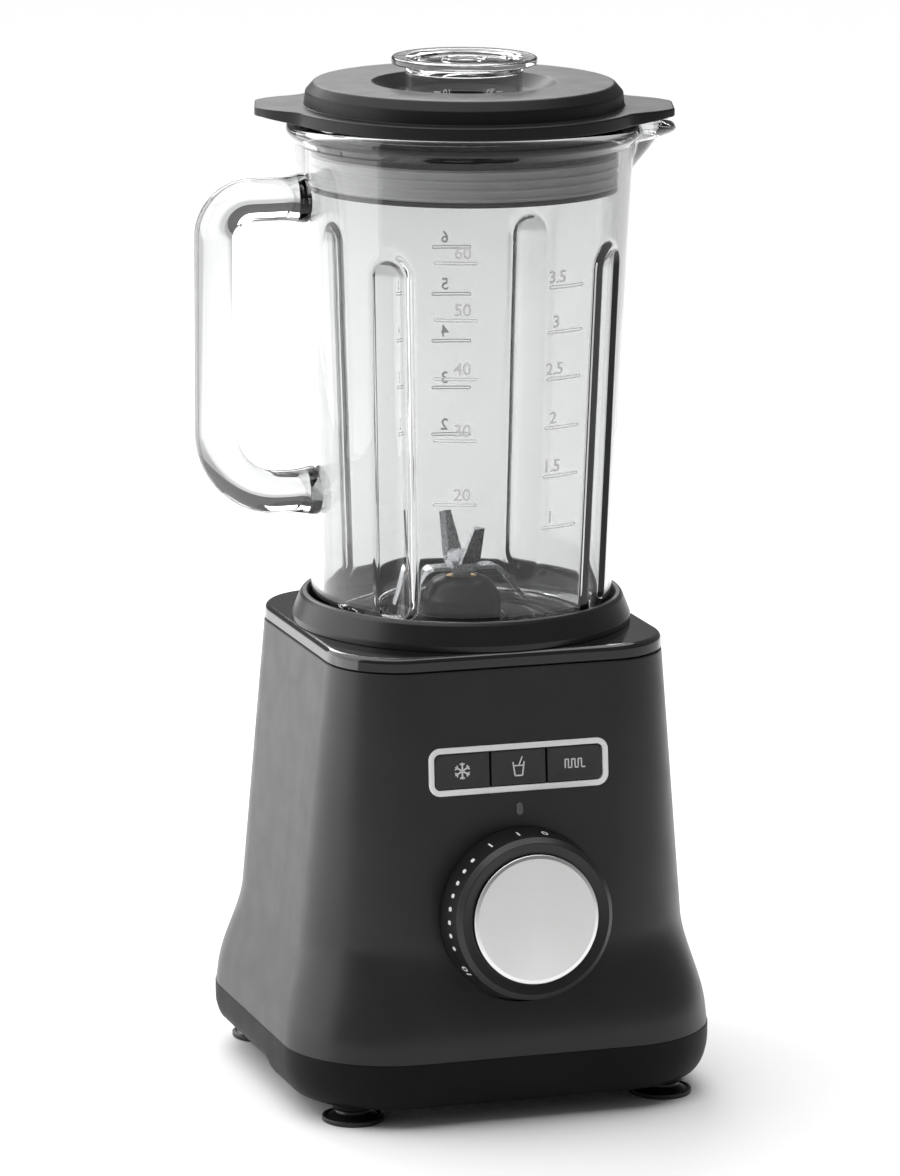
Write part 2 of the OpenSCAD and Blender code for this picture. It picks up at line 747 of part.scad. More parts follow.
housing();
top_cover();
seat_ring();
bottom_cover();
foot(-1, -1);  // foot_front_left
foot(1, -1);  // foot_front_right
foot(-1, 1);  // foot_back_left
foot(1, 1);  // foot_back_right
housing_screws();
cord_gland();
button_frame();
indicator_mark();
control_board();
tact_switches();
rotary_switch();
stator();
field_coils();
motor_bracket_top();
motor_bracket_bottom();
motor_bearing_top();
motor_bearing_bottom();
brush_holders();
carbon_brushes();
motor_dampers();
motor_bolts();
motor_shaft();
armature();
commutator();
cooling_fan();
drive_coupling();
glass_jug();
blade_base();
blade_gasket();
jug_nut();
blade_bush();
blade_shaft();
lower_blade();
blade_spacer();
upper_blade();
blade_nut();
driven_coupling();
lid();
lid_sleeve();
lid_seal_ring();
measuring_cap();
dial_knob();
dial_face();
dial_shaft();
button_cap(-1);  // button_left
button_cap(0);  // button_middle
button_cap(1);  // button_right
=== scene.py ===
import json
import math

import bmesh
import bpy
from mathutils import Matrix, Vector


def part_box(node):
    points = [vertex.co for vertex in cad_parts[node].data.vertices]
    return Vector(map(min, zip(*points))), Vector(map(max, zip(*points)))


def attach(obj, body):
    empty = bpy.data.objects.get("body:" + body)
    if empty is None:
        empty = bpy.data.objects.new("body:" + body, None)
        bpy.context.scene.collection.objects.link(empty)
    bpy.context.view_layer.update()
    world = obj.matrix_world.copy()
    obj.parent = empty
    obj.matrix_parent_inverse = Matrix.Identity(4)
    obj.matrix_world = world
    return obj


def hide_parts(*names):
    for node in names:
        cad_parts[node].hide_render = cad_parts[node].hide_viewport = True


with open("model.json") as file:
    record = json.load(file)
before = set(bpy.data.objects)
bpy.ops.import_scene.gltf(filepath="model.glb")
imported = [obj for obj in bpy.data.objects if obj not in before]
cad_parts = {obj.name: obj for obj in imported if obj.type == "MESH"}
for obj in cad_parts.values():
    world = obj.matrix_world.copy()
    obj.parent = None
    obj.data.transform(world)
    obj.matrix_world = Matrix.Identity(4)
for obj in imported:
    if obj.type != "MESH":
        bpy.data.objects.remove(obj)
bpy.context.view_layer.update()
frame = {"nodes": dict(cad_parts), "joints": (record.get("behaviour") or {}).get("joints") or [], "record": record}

# Shapes are worked out in millimetres, with X and Y measured from the drive axis and Z from the
# surface that the feet stand on. solid() turns them into metres in the frame of the CAD.
MM = 0.001
JOINTS = {joint["name"]: joint for joint in frame["joints"]}
AXIS = Vector(JOINTS["motor_spin"]["pos_m"])
AXIS.z = 0


def span(node):
    """The lowest and highest corner of a CAD node in millimetres from the drive axis."""
    low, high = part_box(node)
    return (low - AXIS) / MM, (high - AXIS) / MM


# ---- Shape helpers ----


def smooth(t):
    t = min(max(t, 0.0), 1.0)
    return t * t * (3 - 2 * t)


def soft_min(a, b, k):
    """The lesser of two values, blended where they are within k of each other."""
    h = max(k - abs(a - b), 0) / k
    return min(a, b) - h * h * k / 4


def soft_max(a, b, k):
    return -soft_min(-a, -b, k)


def steps(start, end, count):
    return [start + (end - start) * i / count for i in range(count + 1)]


def rounded(corners, count=4, closed=True):
    """An outline through (x, y, radius) corners, each turned by an arc of count steps."""
    outline = []
    for i, (x, y, radius) in enumerate(corners):
        at = Vector((x, y))
        if radius <= 0 or (not closed and i in (0, len(corners) - 1)):
            outline.append((x, y))
            continue
        back = Vector(corners[i - 1][:2]) - at
        ahead = Vector(corners[(i + 1) % len(corners)][:2]) - at
        half = back.angle(ahead) / 2
        reach = min(radius / math.tan(half), back.length * 0.49, ahead.length * 0.49)
        back.normalize()
        ahead.normalize()
        centre = at + (back + ahead).normalized() * (reach / math.cos(half))
        first = at + back * reach - centre
        last = at + ahead * reach - centre
        turn = first.angle_signed(last)
        for t in steps(0, 1, count):
            spoke = Matrix.Rotation(-turn * t, 2) @ first
            outline.append(tuple(centre + spoke))
    return outline


def ring_points(half_x, half_y, corner, z, per_corner=16, per_side=6):
    """Points of a rounded rectangle at height z, anticlockwise from the middle of its corner arcs."""
    arcs = []
    for quarter, (sx, sy) in enumerate(((1, 1), (-1, 1), (-1, -1), (1, -1))):
        centre = (sx * (half_x - corner), sy * (half_y - corner))
        arcs.append([
            (centre[0] + corner * math.cos(a), centre[1] + corner * math.sin(a))
            for a in steps(quarter * math.pi / 2, (quarter + 1) * math.pi / 2, per_corner)
        ])
    points = []
    for quarter, arc in enumerate(arcs):
        points += arc
        end = arcs[(quarter + 1) % 4][0]
        points += [
            (arc[-1][0] + (end[0] - arc[-1][0]) * t, arc[-1][1] + (end[1] - arc[-1][1]) * t)
            for t in steps(0, 1, per_side)[1:-1]
        ]
    return [(x, y, z) for x, y in points]


def circle_like(points, radius, z):
    """A circle whose points stand at the same angles as those of another ring."""
    return [
        (radius * x / math.hypot(x, y), radius * y / math.hypot(x, y), z) for x, y, _ in points
    ]


def weave(rings, loop=False, caps=True):
    """Points and faces of a skin through rings of the same length. A loop joins its ends."""
    size = len(rings[0])
    points = [p for ring in rings for p in ring]
    faces = []
    for k in range(len(rings) if loop else len(rings) - 1):
        a, b = k * size, (k + 1) % len(rings) * size
        for i in range(size):
            j = (i + 1) % size
            faces.append((a + i, a + j, b + j, b + i))
    if caps and not loop:
        faces.append(tuple(range(size))[::-1])
        faces.append(tuple(range((len(rings) - 1) * size, len(rings) * size)))
    return points, faces


def turned(outline, count=128, angles=None, warp=None):
    """Points and faces of an (r, z) outline turned about Z. warp(angle, r, z) may move a point."""
    angles = angles or steps(0, 2 * math.pi, count)[:-1]
    rings = []
    for r, z in outline:
        ring = []
        for a in angles:
            rr, zz = warp(a, r, z) if warp else (r, z)
            ring.append((rr * math.cos(a), rr * math.sin(a), zz))
        rings.append(ring)
    on_axis = outline[0][0] < 1e-6 and outline[-1][0] < 1e-6
    return weave(rings, loop=not on_axis, caps=False)


def disc(radius, low, high, count=128):
    return turned([(0, low), (radius, low), (radius, high), (0, high)], count)


def eased(edge, top, count):
    """(inset, z) steps round a quarter arc of radius edge, up to top."""
    return [(edge * (1 - math.cos(a)), top - edge + edge * math.sin(a))
            for a in steps(0, math.pi / 2, count)]


def bar(half_x, half_y, corner, low, high, at=(0, 0), turn=0.0, edge=0.0):
    """A rounded plate lying in XY, with its top edge eased by edge."""
    rings = [(0, low)] + (eased(edge, high, 3) if edge else [(0, high)])
    spin = Matrix.Rotation(turn, 2)
    made = []
    for inset, z in rings:
        ring = ring_points(half_x - inset, half_y - inset, max(corner - inset, 0.02), z, 5, 4)
        made.append([(*(Vector(at) + spin @ Vector((x, y))), z) for x, y, _ in ring])
    return weave(made)


def hoop(half_x, half_y, corner, width, low, high):
    """A rounded rectangular outline of that width, lying in XY."""
    inner = (half_x - width, half_y - width, max(corner - width, 0.02))
    return weave([
        ring_points(half_x, half_y, corner, low, 6, 6),
        ring_points(half_x, half_y, corner, high, 6, 6),
        ring_points(*inner, high, 6, 6),
        ring_points(*inner, low, 6, 6),
    ], loop=True)


def glyphs(words, height, depth):
    """Points and faces of upright numerals, centred on the origin and depth thick."""
    curve = bpy.data.curves.new("glyphs", "FONT")
    curve.body = words
    curve.size = height / 0.7
    curve.align_x = "CENTER"
    curve.extrude = depth / 2
    curve.offset = height * 0.02
    curve.resolution_u = 3
    holder = bpy.data.objects.new("glyphs", curve)
    mesh = bpy.data.meshes.new_from_object(holder)
    points = [(p.co.x, p.co.y - height / 2, p.co.z + depth / 2) for p in mesh.vertices]
    faces = [tuple(f.vertices) for f in mesh.polygons]
    bpy.data.objects.remove(holder)
    bpy.data.curves.remove(curve)
    bpy.data.meshes.remove(mesh)
    return points, faces


def mapped(part, place):
    points, faces = part
    return [tuple(place(*p)) for p in points], faces


def placed(name, data):
    made = bpy.data.objects.new(name, data)
    bpy.context.scene.collection.objects.link(made)
    return made


def shifted(part, x=0.0, y=0.0, z=0.0):
    points, faces = part
    return [(px + x, py + y, pz + z) for px, py, pz in points], faces


def solid(name, *parts, sharp=35):
    """One object from (points, faces) parts in millimetres from the drive axis."""
    mesh = bpy.data.meshes.new(name)
    points, faces = [], []
    for part_points, part_faces in parts:
        shift = len(points)
        points += [Vector(p) * MM + AXIS for p in part_points]
        faces += [tuple(i + shift for i in face) for face in part_faces]
    mesh.from_pydata(points, [], faces)
    bm = bmesh.new()
    bm.from_mesh(mesh)
    bmesh.ops.remove_doubles(bm, verts=bm.verts, dist=1e-7)
    bmesh.ops.dissolve_degenerate(bm, edges=bm.edges, dist=1e-8)
    bmesh.ops.recalc_face_normals(bm, faces=bm.faces)
    bm.to_mesh(mesh)
    bm.free()
    mesh.shade_smooth()
    mesh.set_sharp_from_angle(angle=math.radians(sharp))
    return placed(name, mesh)


def combine(base, operation, *others, sharp=35):
    """Applies boolean operations to base and removes the other objects."""
    for other in others:
        step = base.modifiers.new(operation.lower(), "BOOLEAN")
        step.operation = operation
        step.solver = "EXACT"
        step.object = other
    depsgraph = bpy.context.evaluated_depsgraph_get()
    mesh = bpy.data.meshes.new_from_object(base.evaluated_get(depsgraph))
    base.modifiers.clear()
    base.data = mesh
    for other in others:
        bpy.data.objects.remove(other)
    mesh.shade_smooth()
    mesh.set_sharp_from_angle(angle=math.radians(sharp))


def fit_out(piece, body, slot, *nodes, weighted=True):
    """Gives a piece its finish, puts it on its CAD body and hides the nodes it stands for."""
    piece.data.materials.clear()
    piece.data.materials.append(FINISHES[slot])
    if weighted:
        even = piece.modifiers.new("even_normals", "WEIGHTED_NORMAL")
        even.keep_sharp = True
    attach(piece, body)
    if nodes:
        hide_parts(*nodes)


# ---- Finishes ----


def new_finish(name, colour, roughness, **sockets):
    """A material with its tree and shader. In a socket's name, _ stands for a space."""
    material = bpy.data.materials.new(name)
    material.use_nodes = True
    shader = material.node_tree.nodes["Principled BSDF"]
    shader.inputs["Base Color"].default_value = (*colour, 1)
    shader.inputs["Roughness"].default_value = roughness
    for socket, value in sockets.items():
        shader.inputs[socket.replace("_", " ")].default_value = value
    return material, material.node_tree, shader


def node(tree, kind, inputs=None, **settings):
    """A shader node. Each input is a value to set or another node's output to link."""
    made = tree.nodes.new(kind)
    for key, value in settings.items():
        setattr(made, key, value)
    for key, value in (inputs or {}).items():
        if isinstance(value, bpy.types.NodeSocket):
            tree.links.new(value, made.inputs[key])
        else:
            made.inputs[key].default_value = value
    return made


def maths(tree, operation, *values):
    made = node(tree, "ShaderNodeMath", dict(enumerate(values)), operation=operation)
    return made.outputs["Value"]


def vectors(tree, operation, *values, out="Vector"):
    made = node(tree, "ShaderNodeVectorMath", dict(enumerate(values)), operation=operation)
    return made.outputs[out]


def where(tree):
    return node(tree, "ShaderNodeTexCoord").outputs["Object"]


def noise(tree, size, detail=3.0, vector=None):
    """Noise whose features are about size metres across."""
    return node(tree, "ShaderNodeTexNoise", {
        "Vector": vector or where(tree), "Scale": 1 / size, "Detail": detail,
    }).outputs["Fac"]


def ranged(tree, value, low, high):
    """Spreads the middle of a noise, 0.3 to 0.7, over low to high."""
    return node(tree, "ShaderNodeMapRange", {
        "Value": value, "From Min": 0.3, "From Max": 0.7, "To Min": low, "To Max": high,
    }).outputs["Result"]


def tinted(tree, shader, value, dark, light):
    ramp = node(tree, "ShaderNodeMix", {"Factor": value}, data_type="RGBA")
    ends = {"A": dark, "B": light}
    for socket in ramp.inputs:
        if socket.type == "RGBA":
            socket.default_value = (*ends[socket.name], 1)
    result = next(s for s in ramp.outputs if s.type == "RGBA")
    tree.links.new(result, shader.inputs["Base Color"])


def bumped(tree, shader, height, strength, distance):
    bump = node(tree, "ShaderNodeBump", {
        "Height": height, "Strength": strength, "Distance": distance,
    })
    tree.links.new(bump.outputs["Normal"], shader.inputs["Normal"])


def shaded(colour, factor):
    return tuple(min(c * factor, 1) for c in colour)


def moulded(name, colour, roughness, grain=0.0005, depth=0.15, spread=0.06, **sockets):
    """Moulded plastic or rubber: a fine grain, faint flow mottling and uneven gloss."""
    material, tree, shader = new_finish(name, colour, roughness, **sockets)
    flow = noise(tree, 0.03)
    tinted(tree, shader, ranged(tree, flow, 0, 1), shaded(colour, 0.86), shaded(colour, 1.14))
    fine = noise(tree, grain, 2)
    tree.links.new(
        ranged(tree, noise(tree, 0.012), roughness - spread / 2, roughness + spread / 2),
        shader.inputs["Roughness"])
    bumped(tree, shader, fine, depth, 0.00006)
    return material


def metallic(name, colour, roughness, size=0.0004, along=(1, 1, 12), depth=0.12, **sockets):
    """Machined or brushed metal: noise drawn out across its third direction."""
    material, tree, shader = new_finish(name, colour, roughness, Metallic=1.0, **sockets)
    scaled = vectors(tree, "MULTIPLY", where(tree), along)
    lines = noise(tree, size * 6, 4, scaled)
    tinted(tree, shader, ranged(tree, lines, 0, 1), shaded(colour, 0.88), shaded(colour, 1.08))
    tree.links.new(ranged(tree, lines, roughness - 0.06, roughness + 0.06),
                   shader.inputs["Roughness"])
    bumped(tree, shader, lines, depth, 0.00004)
    return material


def spun(name, colour, roughness, centre, axis):
    """Metal turned on a lathe: fine rings about an axis, with an anisotropic sheen."""
    material, tree, shader = new_finish(name, colour, roughness, Metallic=1.0, Anisotropic=0.6)
    away = vectors(tree, "SUBTRACT", where(tree), tuple(centre))
    across = vectors(tree, "CROSS_PRODUCT", away, tuple(axis))
    radius = vectors(tree, "LENGTH", across, out="Value")
    rings = node(tree, "ShaderNodeTexNoise", {"W": radius, "Scale": 2600.0, "Detail": 3.0},
                 noise_dimensions="1D").outputs["Fac"]
    tinted(tree, shader, ranged(tree, rings, 0, 1), shaded(colour, 0.98), shaded(colour, 1.02))
    tree.links.new(ranged(tree, rings, roughness - 0.02, roughness + 0.02),
                   shader.inputs["Roughness"])
    bumped(tree, shader, rings, 0.04, 0.00002)
    tangent = node(tree, "ShaderNodeTangent", direction_type="RADIAL", axis="Y")
    tree.links.new(tangent.outputs["Tangent"], shader.inputs["Tangent"])
    return material


def clear(name, tint, ior, ripple, size, roughness=0.0, shadow=0.9):
    """Glass or clear plastic with faint ripples. Lamps shine through it with little loss."""
    material, tree, shader = new_finish(
        name, tint, roughness, Transmission_Weight=1.0, IOR=ior)
    swell = noise(tree, size, 1)
    tinted(tree, shader, ranged(tree, swell, 0, 1), shaded(tint, 0.985), shaded(tint, 1.01))
    bumped(tree, shader, swell, ripple, 0.0004)
    is_shadow = node(tree, "ShaderNodeLightPath").outputs["Is Shadow Ray"]
    through = node(tree, "ShaderNodeBsdfTransparent")
    through.inputs["Color"].default_value = (shadow, shadow, shadow, 1)
    mix = node(tree, "ShaderNodeMixShader", {
        0: is_shadow, 1: shader.outputs["BSDF"], 2: through.outputs["BSDF"],
    })
    tree.links.new(mix.outputs["Shader"], tree.nodes["Material Output"].inputs["Surface"])
    return material


def milky(name, tint, roughness, weight):
    """Translucent silicone: soft, cloudy and a little uneven."""
    material, tree, shader = new_finish(
        name, tint, roughness, Transmission_Weight=weight, IOR=1.4)
    cloud = noise(tree, 0.01)
    tinted(tree, shader, ranged(tree, cloud, 0, 1), shaded(tint, 0.92), shaded(tint, 1.05))
    bumped(tree, shader, noise(tree, 0.0008, 2), 0.15, 0.00005)
    return material


def layered(name, dark, light, pitch):
    """Stacked steel laminations: thin bands across Z."""
    material, tree, shader = new_finish(name, light, 0.45, Metallic=1.0)
    height = node(tree, "ShaderNodeSeparateXYZ", {0: where(tree)}).outputs["Z"]
    bands = maths(tree, "MULTIPLY", height, 2 * math.pi / pitch)
    wave = maths(tree, "SINE", bands)
    mixed = node(tree, "ShaderNodeMapRange", {"Value": wave, "From Min": -1.0}).outputs["Result"]
    tinted(tree, shader, mixed, dark, light)
    bumped(tree, shader, mixed, 0.4, 0.0001)
    return material


def wound(name, colour, pitch):
    """Enamelled wire: close rounded turns."""
    material, tree, shader = new_finish(name, colour, 0.3, Metallic=1.0, Coat_Weight=0.5)
    waves = node(tree, "ShaderNodeTexWave", {
        "Vector": where(tree), "Scale": 0.31 / pitch, "Distortion": 0.6,
    }, wave_type="BANDS", bands_direction="Z").outputs["Fac"]
    tinted(tree, shader, waves, shaded(colour, 0.45), shaded(colour, 1.1))
    bumped(tree, shader, waves, 0.6, 0.0002)
    return material


def board(name, colour, pitch):
    """A circuit board: solder mask over squared-off tracks."""
    material, tree, shader = new_finish(name, colour, 0.35, Coat_Weight=0.4)
    cells = node(tree, "ShaderNodeTexVoronoi", {"Vector": where(tree), "Scale": 1 / pitch},
                 distance="CHEBYCHEV", feature="F1").outputs["Distance"]
    tinted(tree, shader, ranged(tree, cells, 0, 1), shaded(colour, 0.7), shaded(colour, 1.7))
    bumped(tree, shader, cells, 0.2, 0.0001)
    return material


DIAL_AT = Vector(JOINTS["dial_turn"]["pos_m"])
OUTWARD = Vector(JOINTS["dial_turn"]["axis"]).normalized()
FINISHES = {
    "housing_plastic": moulded(
        "housing_plastic", (0.018, 0.0182, 0.019), 0.34, 0.0006, 0.12, Specular_IOR_Level=0.4),
    "cover_gloss": moulded(
        "cover_gloss", (0.008, 0.008, 0.009), 0.1, 0.004, 0.02, 0.03, Coat_Weight=0.5),
    "ring_plastic": moulded("ring_plastic", (0.01, 0.01, 0.0105), 0.3, 0.0005, 0.1),
    "base_plastic": moulded(
        "base_plastic", (0.008, 0.008, 0.0085), 0.45, 0.0006, 0.14, Specular_IOR_Level=0.08),
    "rubber": moulded("rubber", (0.01, 0.01, 0.01), 0.36, 0.0007, 0.12),
    "frame_plastic": moulded("frame_plastic", (0.95, 0.95, 0.95), 0.3, 0.002, 0.04, 0.04),
    "mark_plastic": moulded("mark_plastic", (0.11, 0.11, 0.112), 0.25, 0.001, 0.05),
    "button_plastic": moulded("button_plastic", (0.03, 0.03, 0.031), 0.38, 0.0005, 0.1),
    "knob_plastic": moulded("knob_plastic", (0.009, 0.009, 0.0095), 0.38, 0.0005, 0.1),
    "dial_metal": spun("dial_metal", (0.93, 0.93, 0.925), 0.3, DIAL_AT, OUTWARD),
    "steel": metallic("steel", (0.62, 0.63, 0.65), 0.28),
    "blade_steel": metallic("blade_steel", (0.66, 0.67, 0.69), 0.24, 0.0003, (14, 1, 1)),
    "lamination": layered("lamination", (0.1, 0.1, 0.11), (0.3, 0.31, 0.33), 0.001),
    "copper": wound("copper", (0.72, 0.34, 0.16), 0.0011),
    "bronze": metallic("bronze", (0.6, 0.42, 0.2), 0.4),
    "zinc": metallic("zinc", (0.5, 0.51, 0.53), 0.42, 0.0006, (1, 1, 1)),
    "circuit_board": board("circuit_board", (0.03, 0.16, 0.08), 0.004),
    "switch_plastic": moulded("switch_plastic", (0.03, 0.03, 0.032), 0.45),
    "carbon": moulded("carbon", (0.03, 0.03, 0.03), 0.6, 0.0004, 0.3),
    "fan_plastic": moulded("fan_plastic", (0.04, 0.04, 0.045), 0.4),
    "coupling_plastic": moulded("coupling_plastic", (0.03, 0.03, 0.032), 0.4),
    "glass": clear("glass", (0.7, 0.705, 0.705), 1.5, 0.12, 0.03),
    "lid_plastic": moulded(
        "lid_plastic", (0.009, 0.009, 0.0095), 0.42, 0.0005, 0.1, Specular_IOR_Level=0.25),
    "silicone": milky("silicone", (0.96, 0.96, 0.955), 0.3, 0.2),
    "seal_rubber": moulded("seal_rubber", (0.03, 0.03, 0.032), 0.45),
    "cap_clear": clear("cap_clear", (0.86, 0.865, 0.865), 1.46, 0.05, 0.01),
}
PRINT = moulded("print_white", (0.8, 0.8, 0.8), 0.5, 0.0004, 0.05)
FROST = milky("moulded_marks", (0.95, 0.95, 0.95), 0.4, 0.25)
SLOT_OF = {row["node"]: row["material_slot"] for row in frame["record"]["subparts"]}
for cad_name, cad_node in frame["nodes"].items():
    cad_node.data.materials.clear()
    cad_node.data.materials.append(FINISHES[SLOT_OF[cad_name]])


def plain(piece, material, body, slot):
    """Fits out a small mark that stands for no node, in a material of its own."""
    fit_out(piece, body, slot)
    piece.data.materials.clear()
    piece.data.materials.append(material)


# ---- Motor base ----

HOUSING_LOW, HOUSING_HIGH = span("housing")
SEAM_Z = HOUSING_HIGH.z
FOOT_Z = HOUSING_LOW.z
LEAN = OUTWARD.z / -OUTWARD.y
DIAL = (DIAL_AT - AXIS) / MM
WALL = 2.6
FLARE_TOP = 74
FLARE_FOOT = 36
CORNER_TOP = 30
CORNER_GROWTH = 0.13
CORNER_MOST = 45


def face_half(z):
    """Half the width of the housing where its faces are straight."""
    return -DIAL.y + (DIAL.z - z) * LEAN


FLARE = HOUSING_HIGH.x - face_half(FOOT_Z)


def half_at(z):
    return face_half(z) + FLARE * smooth((FLARE_TOP - z) / (FLARE_TOP - FLARE_FOOT))


def corner_at(z):
    return min(CORNER_MOST, CORNER_TOP + CORNER_GROWTH * (SEAM_Z - z))


def body_ring(z, inset=0.0, lift=0.0, sides=10):
    half, corner = half_at(z) - inset, corner_at(z) - inset
    return ring_points(half, half, corner, z + lift, 20, sides)


UP_FACE = OUTWARD.cross(Vector((1, 0, 0)))


def on_front(z):
    """Places x to the right, y up the face and w outward, at height z on the front face."""
    origin = Vector((0, -face_half(z), z))
    return lambda x, y, w: origin + Vector((x, 0, 0)) + UP_FACE * y + OUTWARD * w


CORD = next(mount for mount in frame["record"]["mounts"] if mount["name"] == "cord_outlet")


def on_cord(x, y, w):
    """Places a turned part on the line of the cord's outlet."""
    out = Vector(CORD["axis"]).normalized()
    side = Vector((1, 0, 0))
    return (Vector(CORD["pos_m"]) - AXIS) / MM + side * x + out.cross(side) * y + out * w


FRAME_LOW, FRAME_HIGH = span("button_frame")
FRAME_W = FRAME_HIGH.x - FRAME_LOW.x
FRAME_H = 20
BUTTON_Z = FRAME_LOW.z - FRAME_H / 2 * OUTWARD.y
FRAME_LIP = 2.4
FRAME_CORNER = 5
MARK_Z = 130.8
DIAL_SEAT_R = 36.8
GLAND_R = 5.6
SIGN_SCALE = 1.3
SIGN_DEPTH = 0.2


def make_housing():
    """The wall, with a flat seat for the dial in the flared front."""
    edge = 0.7
    levels = steps(FOOT_Z + edge, FLARE_TOP + 4, 26) + steps(FLARE_TOP + 4, SEAM_Z - edge, 10)[1:]
    turns = steps(0, math.pi / 2, 3)
    outer = [body_ring(FOOT_Z, edge * (1 - math.sin(a)), edge * (1 - math.cos(a)))
             for a in turns[:-1]]
    outer += [body_ring(z) for z in levels]
    outer += [body_ring(SEAM_Z - edge, edge * (1 - math.cos(a)), edge * math.sin(a))
              for a in turns[1:]]
    inner = [body_ring(z, WALL) for z in reversed([FOOT_Z] + levels[1:-1:2] + [SEAM_Z])]
    shell = solid("housing_shell", weave(outer + inner, loop=True))
    window = solid("window", mapped(
        bar(FRAME_W / 2 - FRAME_LIP + 1.2, FRAME_H / 2 - FRAME_LIP + 1.2, 4, -10, 10),
        on_front(BUTTON_Z)))
    slit = solid("slit", mapped(bar(1, 2.3, 0.99, -10, 10), on_front(MARK_Z)))
    hole = solid("hole", mapped(bar(4.8, 4.8, 4.79, -10, 10), on_front(DIAL.z)))
    gland = solid("gland", mapped(disc(GLAND_R, -15, 15, 48), on_cord))
    pad = solid("pad", mapped(disc(DIAL_SEAT_R + WALL, -WALL, 8), on_front(DIAL.z)))
    combine(pad, "INTERSECT", solid("outer_form", weave(outer)))
    seat = solid("seat", mapped(disc(DIAL_SEAT_R, 0.01, 20), on_front(DIAL.z)))
    combine(shell, "UNION", pad)
    combine(shell, "DIFFERENCE", window, slit, hole, gland, seat)
    fit_out(shell, "base", "housing_plastic", "housing")


def make_top_cover():
    low, high = span("top_cover")
    deck = high.z
    edge = 2.4
    seam_gap = 0.4
    half, corner = half_at(SEAM_Z), corner_at(SEAM_Z)
    foot = SEAM_Z + seam_gap
    sides = 24

    def ring(inset, z):
        return ring_points(half - inset, half - inset, corner - inset, z, 20, sides)

    outside = [ring(WALL + seam_gap, low.z), ring(WALL + seam_gap, foot), ring(0.4, foot),
               ring(0, foot + 0.4)]
    outside += [ring(0.2 + inset, z) for inset, z in eased(edge, deck, 8)]
    deck_ring = ring(edge + 0.6, deck)
    well = [(65.8, deck), (65.3, deck - 0.15), (65.2, deck - 0.6), (65.2, 192.7), (46.6, 192.7),
            (46.1, 192.5), (46, 192), (46, 173.7), (9.4, 173.5), (9, 173.3), (9, low.z + 2.5),
            (48.5, 171), (48.5, 190.2), (67.7, 190.2), (67.7, deck - 2.5)]
    circles = [circle_like(deck_ring, r, z) for r, z in well]
    under = [ring(WALL + 2.4, deck - 2.5), ring(WALL + 2.4, low.z)]
    cover = solid("top_cover_shell", weave(outside + [deck_ring] + circles + under, loop=True))
    fit_out(cover, "base", "cover_gloss", "top_cover")


def make_seat_ring():
    low, high = span("seat_ring")
    foot_r, base, top = high.x, low.z, high.z
    outline = rounded([
        (64.6, base, 0.3), (foot_r, base, 0.3), (foot_r, base + 2.6, 0.9),
        (68.2, top - 1.4, 1.0), (67.2, top, 0.9), (65.2, top, 0.6), (64.6, top - 1.0, 0.5)], 5)
    ring = solid("jug_seat_ring", turned(outline, 192))
    fit_out(ring, "base", "ring_plastic", "seat_ring")


def make_bottom_cover():
    under, top = 8, span("bottom_cover")[1].z
    shoulder = 24
    turn_in = 8
    half, corner = half_at(FOOT_Z), CORNER_MOST
    arch = 3.6
    arch_front, arch_back = -20, 62

    def ring(inset, z, share):
        """share is how far the arches in the two sides lift this ring, from 0 to 1."""
        points = ring_points(half - inset, half - inset, corner - inset, z, 20, 24)
        made = []
        for x, y, height in points:
            side = smooth((abs(x) - half * 0.72) / 6)
            run = smooth((y - arch_front) / 5) * smooth((arch_back - y) / 5)
            made.append((x, y, height + arch * share * side * run))
        return made

    outer = [ring(turn_in + 9, under, 0), ring(turn_in + 3, under, 0.4)]
    for a in steps(0, math.pi / 2, 10):
        z = shoulder - (shoulder - under) * math.cos(a)
        outer.append(ring(turn_in * (1 - math.sin(a)), z, max(0, 1 - (z - under) / 12)))
    outer += [ring(0, top - 0.5, 0), ring(0.15, top - 0.12, 0), ring(0.6, top, 0)]
    inner = [ring(3, top, 0), ring(3, shoulder, 0), ring(5, shoulder - 8, 0), ring(12, under + 3, 0)]
    cover = solid("bottom_cover_shell", weave(outer + inner))
    foot_low, foot_high = span("foot_front_right")
    foot_x = (foot_low.x + foot_high.x) / 2
    foot_y = (foot_low.y + foot_high.y) / 2
    posts = []
    post = rounded([(3.1, 5, 0), (9, 5, 1.2), (9, 13, 0), (3.1, 13, 0)], 4)
    for sx in (-1, 1):
        for sy in (-1, 1):
            posts.append(solid("post", shifted(turned(post, 48), sx * foot_x, sy * foot_y)))
    combine(cover, "UNION", *posts)
    vents = [solid("vent", bar(1.5, 30, 1.49, under - 3, under + 5, (x, 0)))
             for x in range(-24, 25, 8)]
    combine(cover, "DIFFERENCE", *vents)
    fit_out(cover, "base", "base_plastic", "bottom_cover")


def make_feet():
    for name in ("foot_front_left", "foot_front_right", "foot_back_left", "foot_back_right"):
        low, high = span(name)
        cx, cy = (low.x + high.x) / 2, (low.y + high.y) / 2
        r = (high.x - low.x) / 2
        outline = rounded([
            (0, 1.3, 0), (r - 4, 0.9, 0.8), (r - 2.6, 0, 0.3), (r, 0, 0.5), (r, 2.1, 0.5),
            (r - 1.2, 2.3, 0.4), (r - 2, 1.8, 0.5), (7.2, 3.5, 1.2), (6.6, 6.2, 0.6),
            (3, 6.2, 0.2), (3, high.z, 0.3), (0, high.z, 0)],
            4, closed=False)
        cup = solid(name + "_cup", shifted(turned(outline, 64), cx, cy))
        fit_out(cup, "base", "rubber", name)


# ---- Controls ----


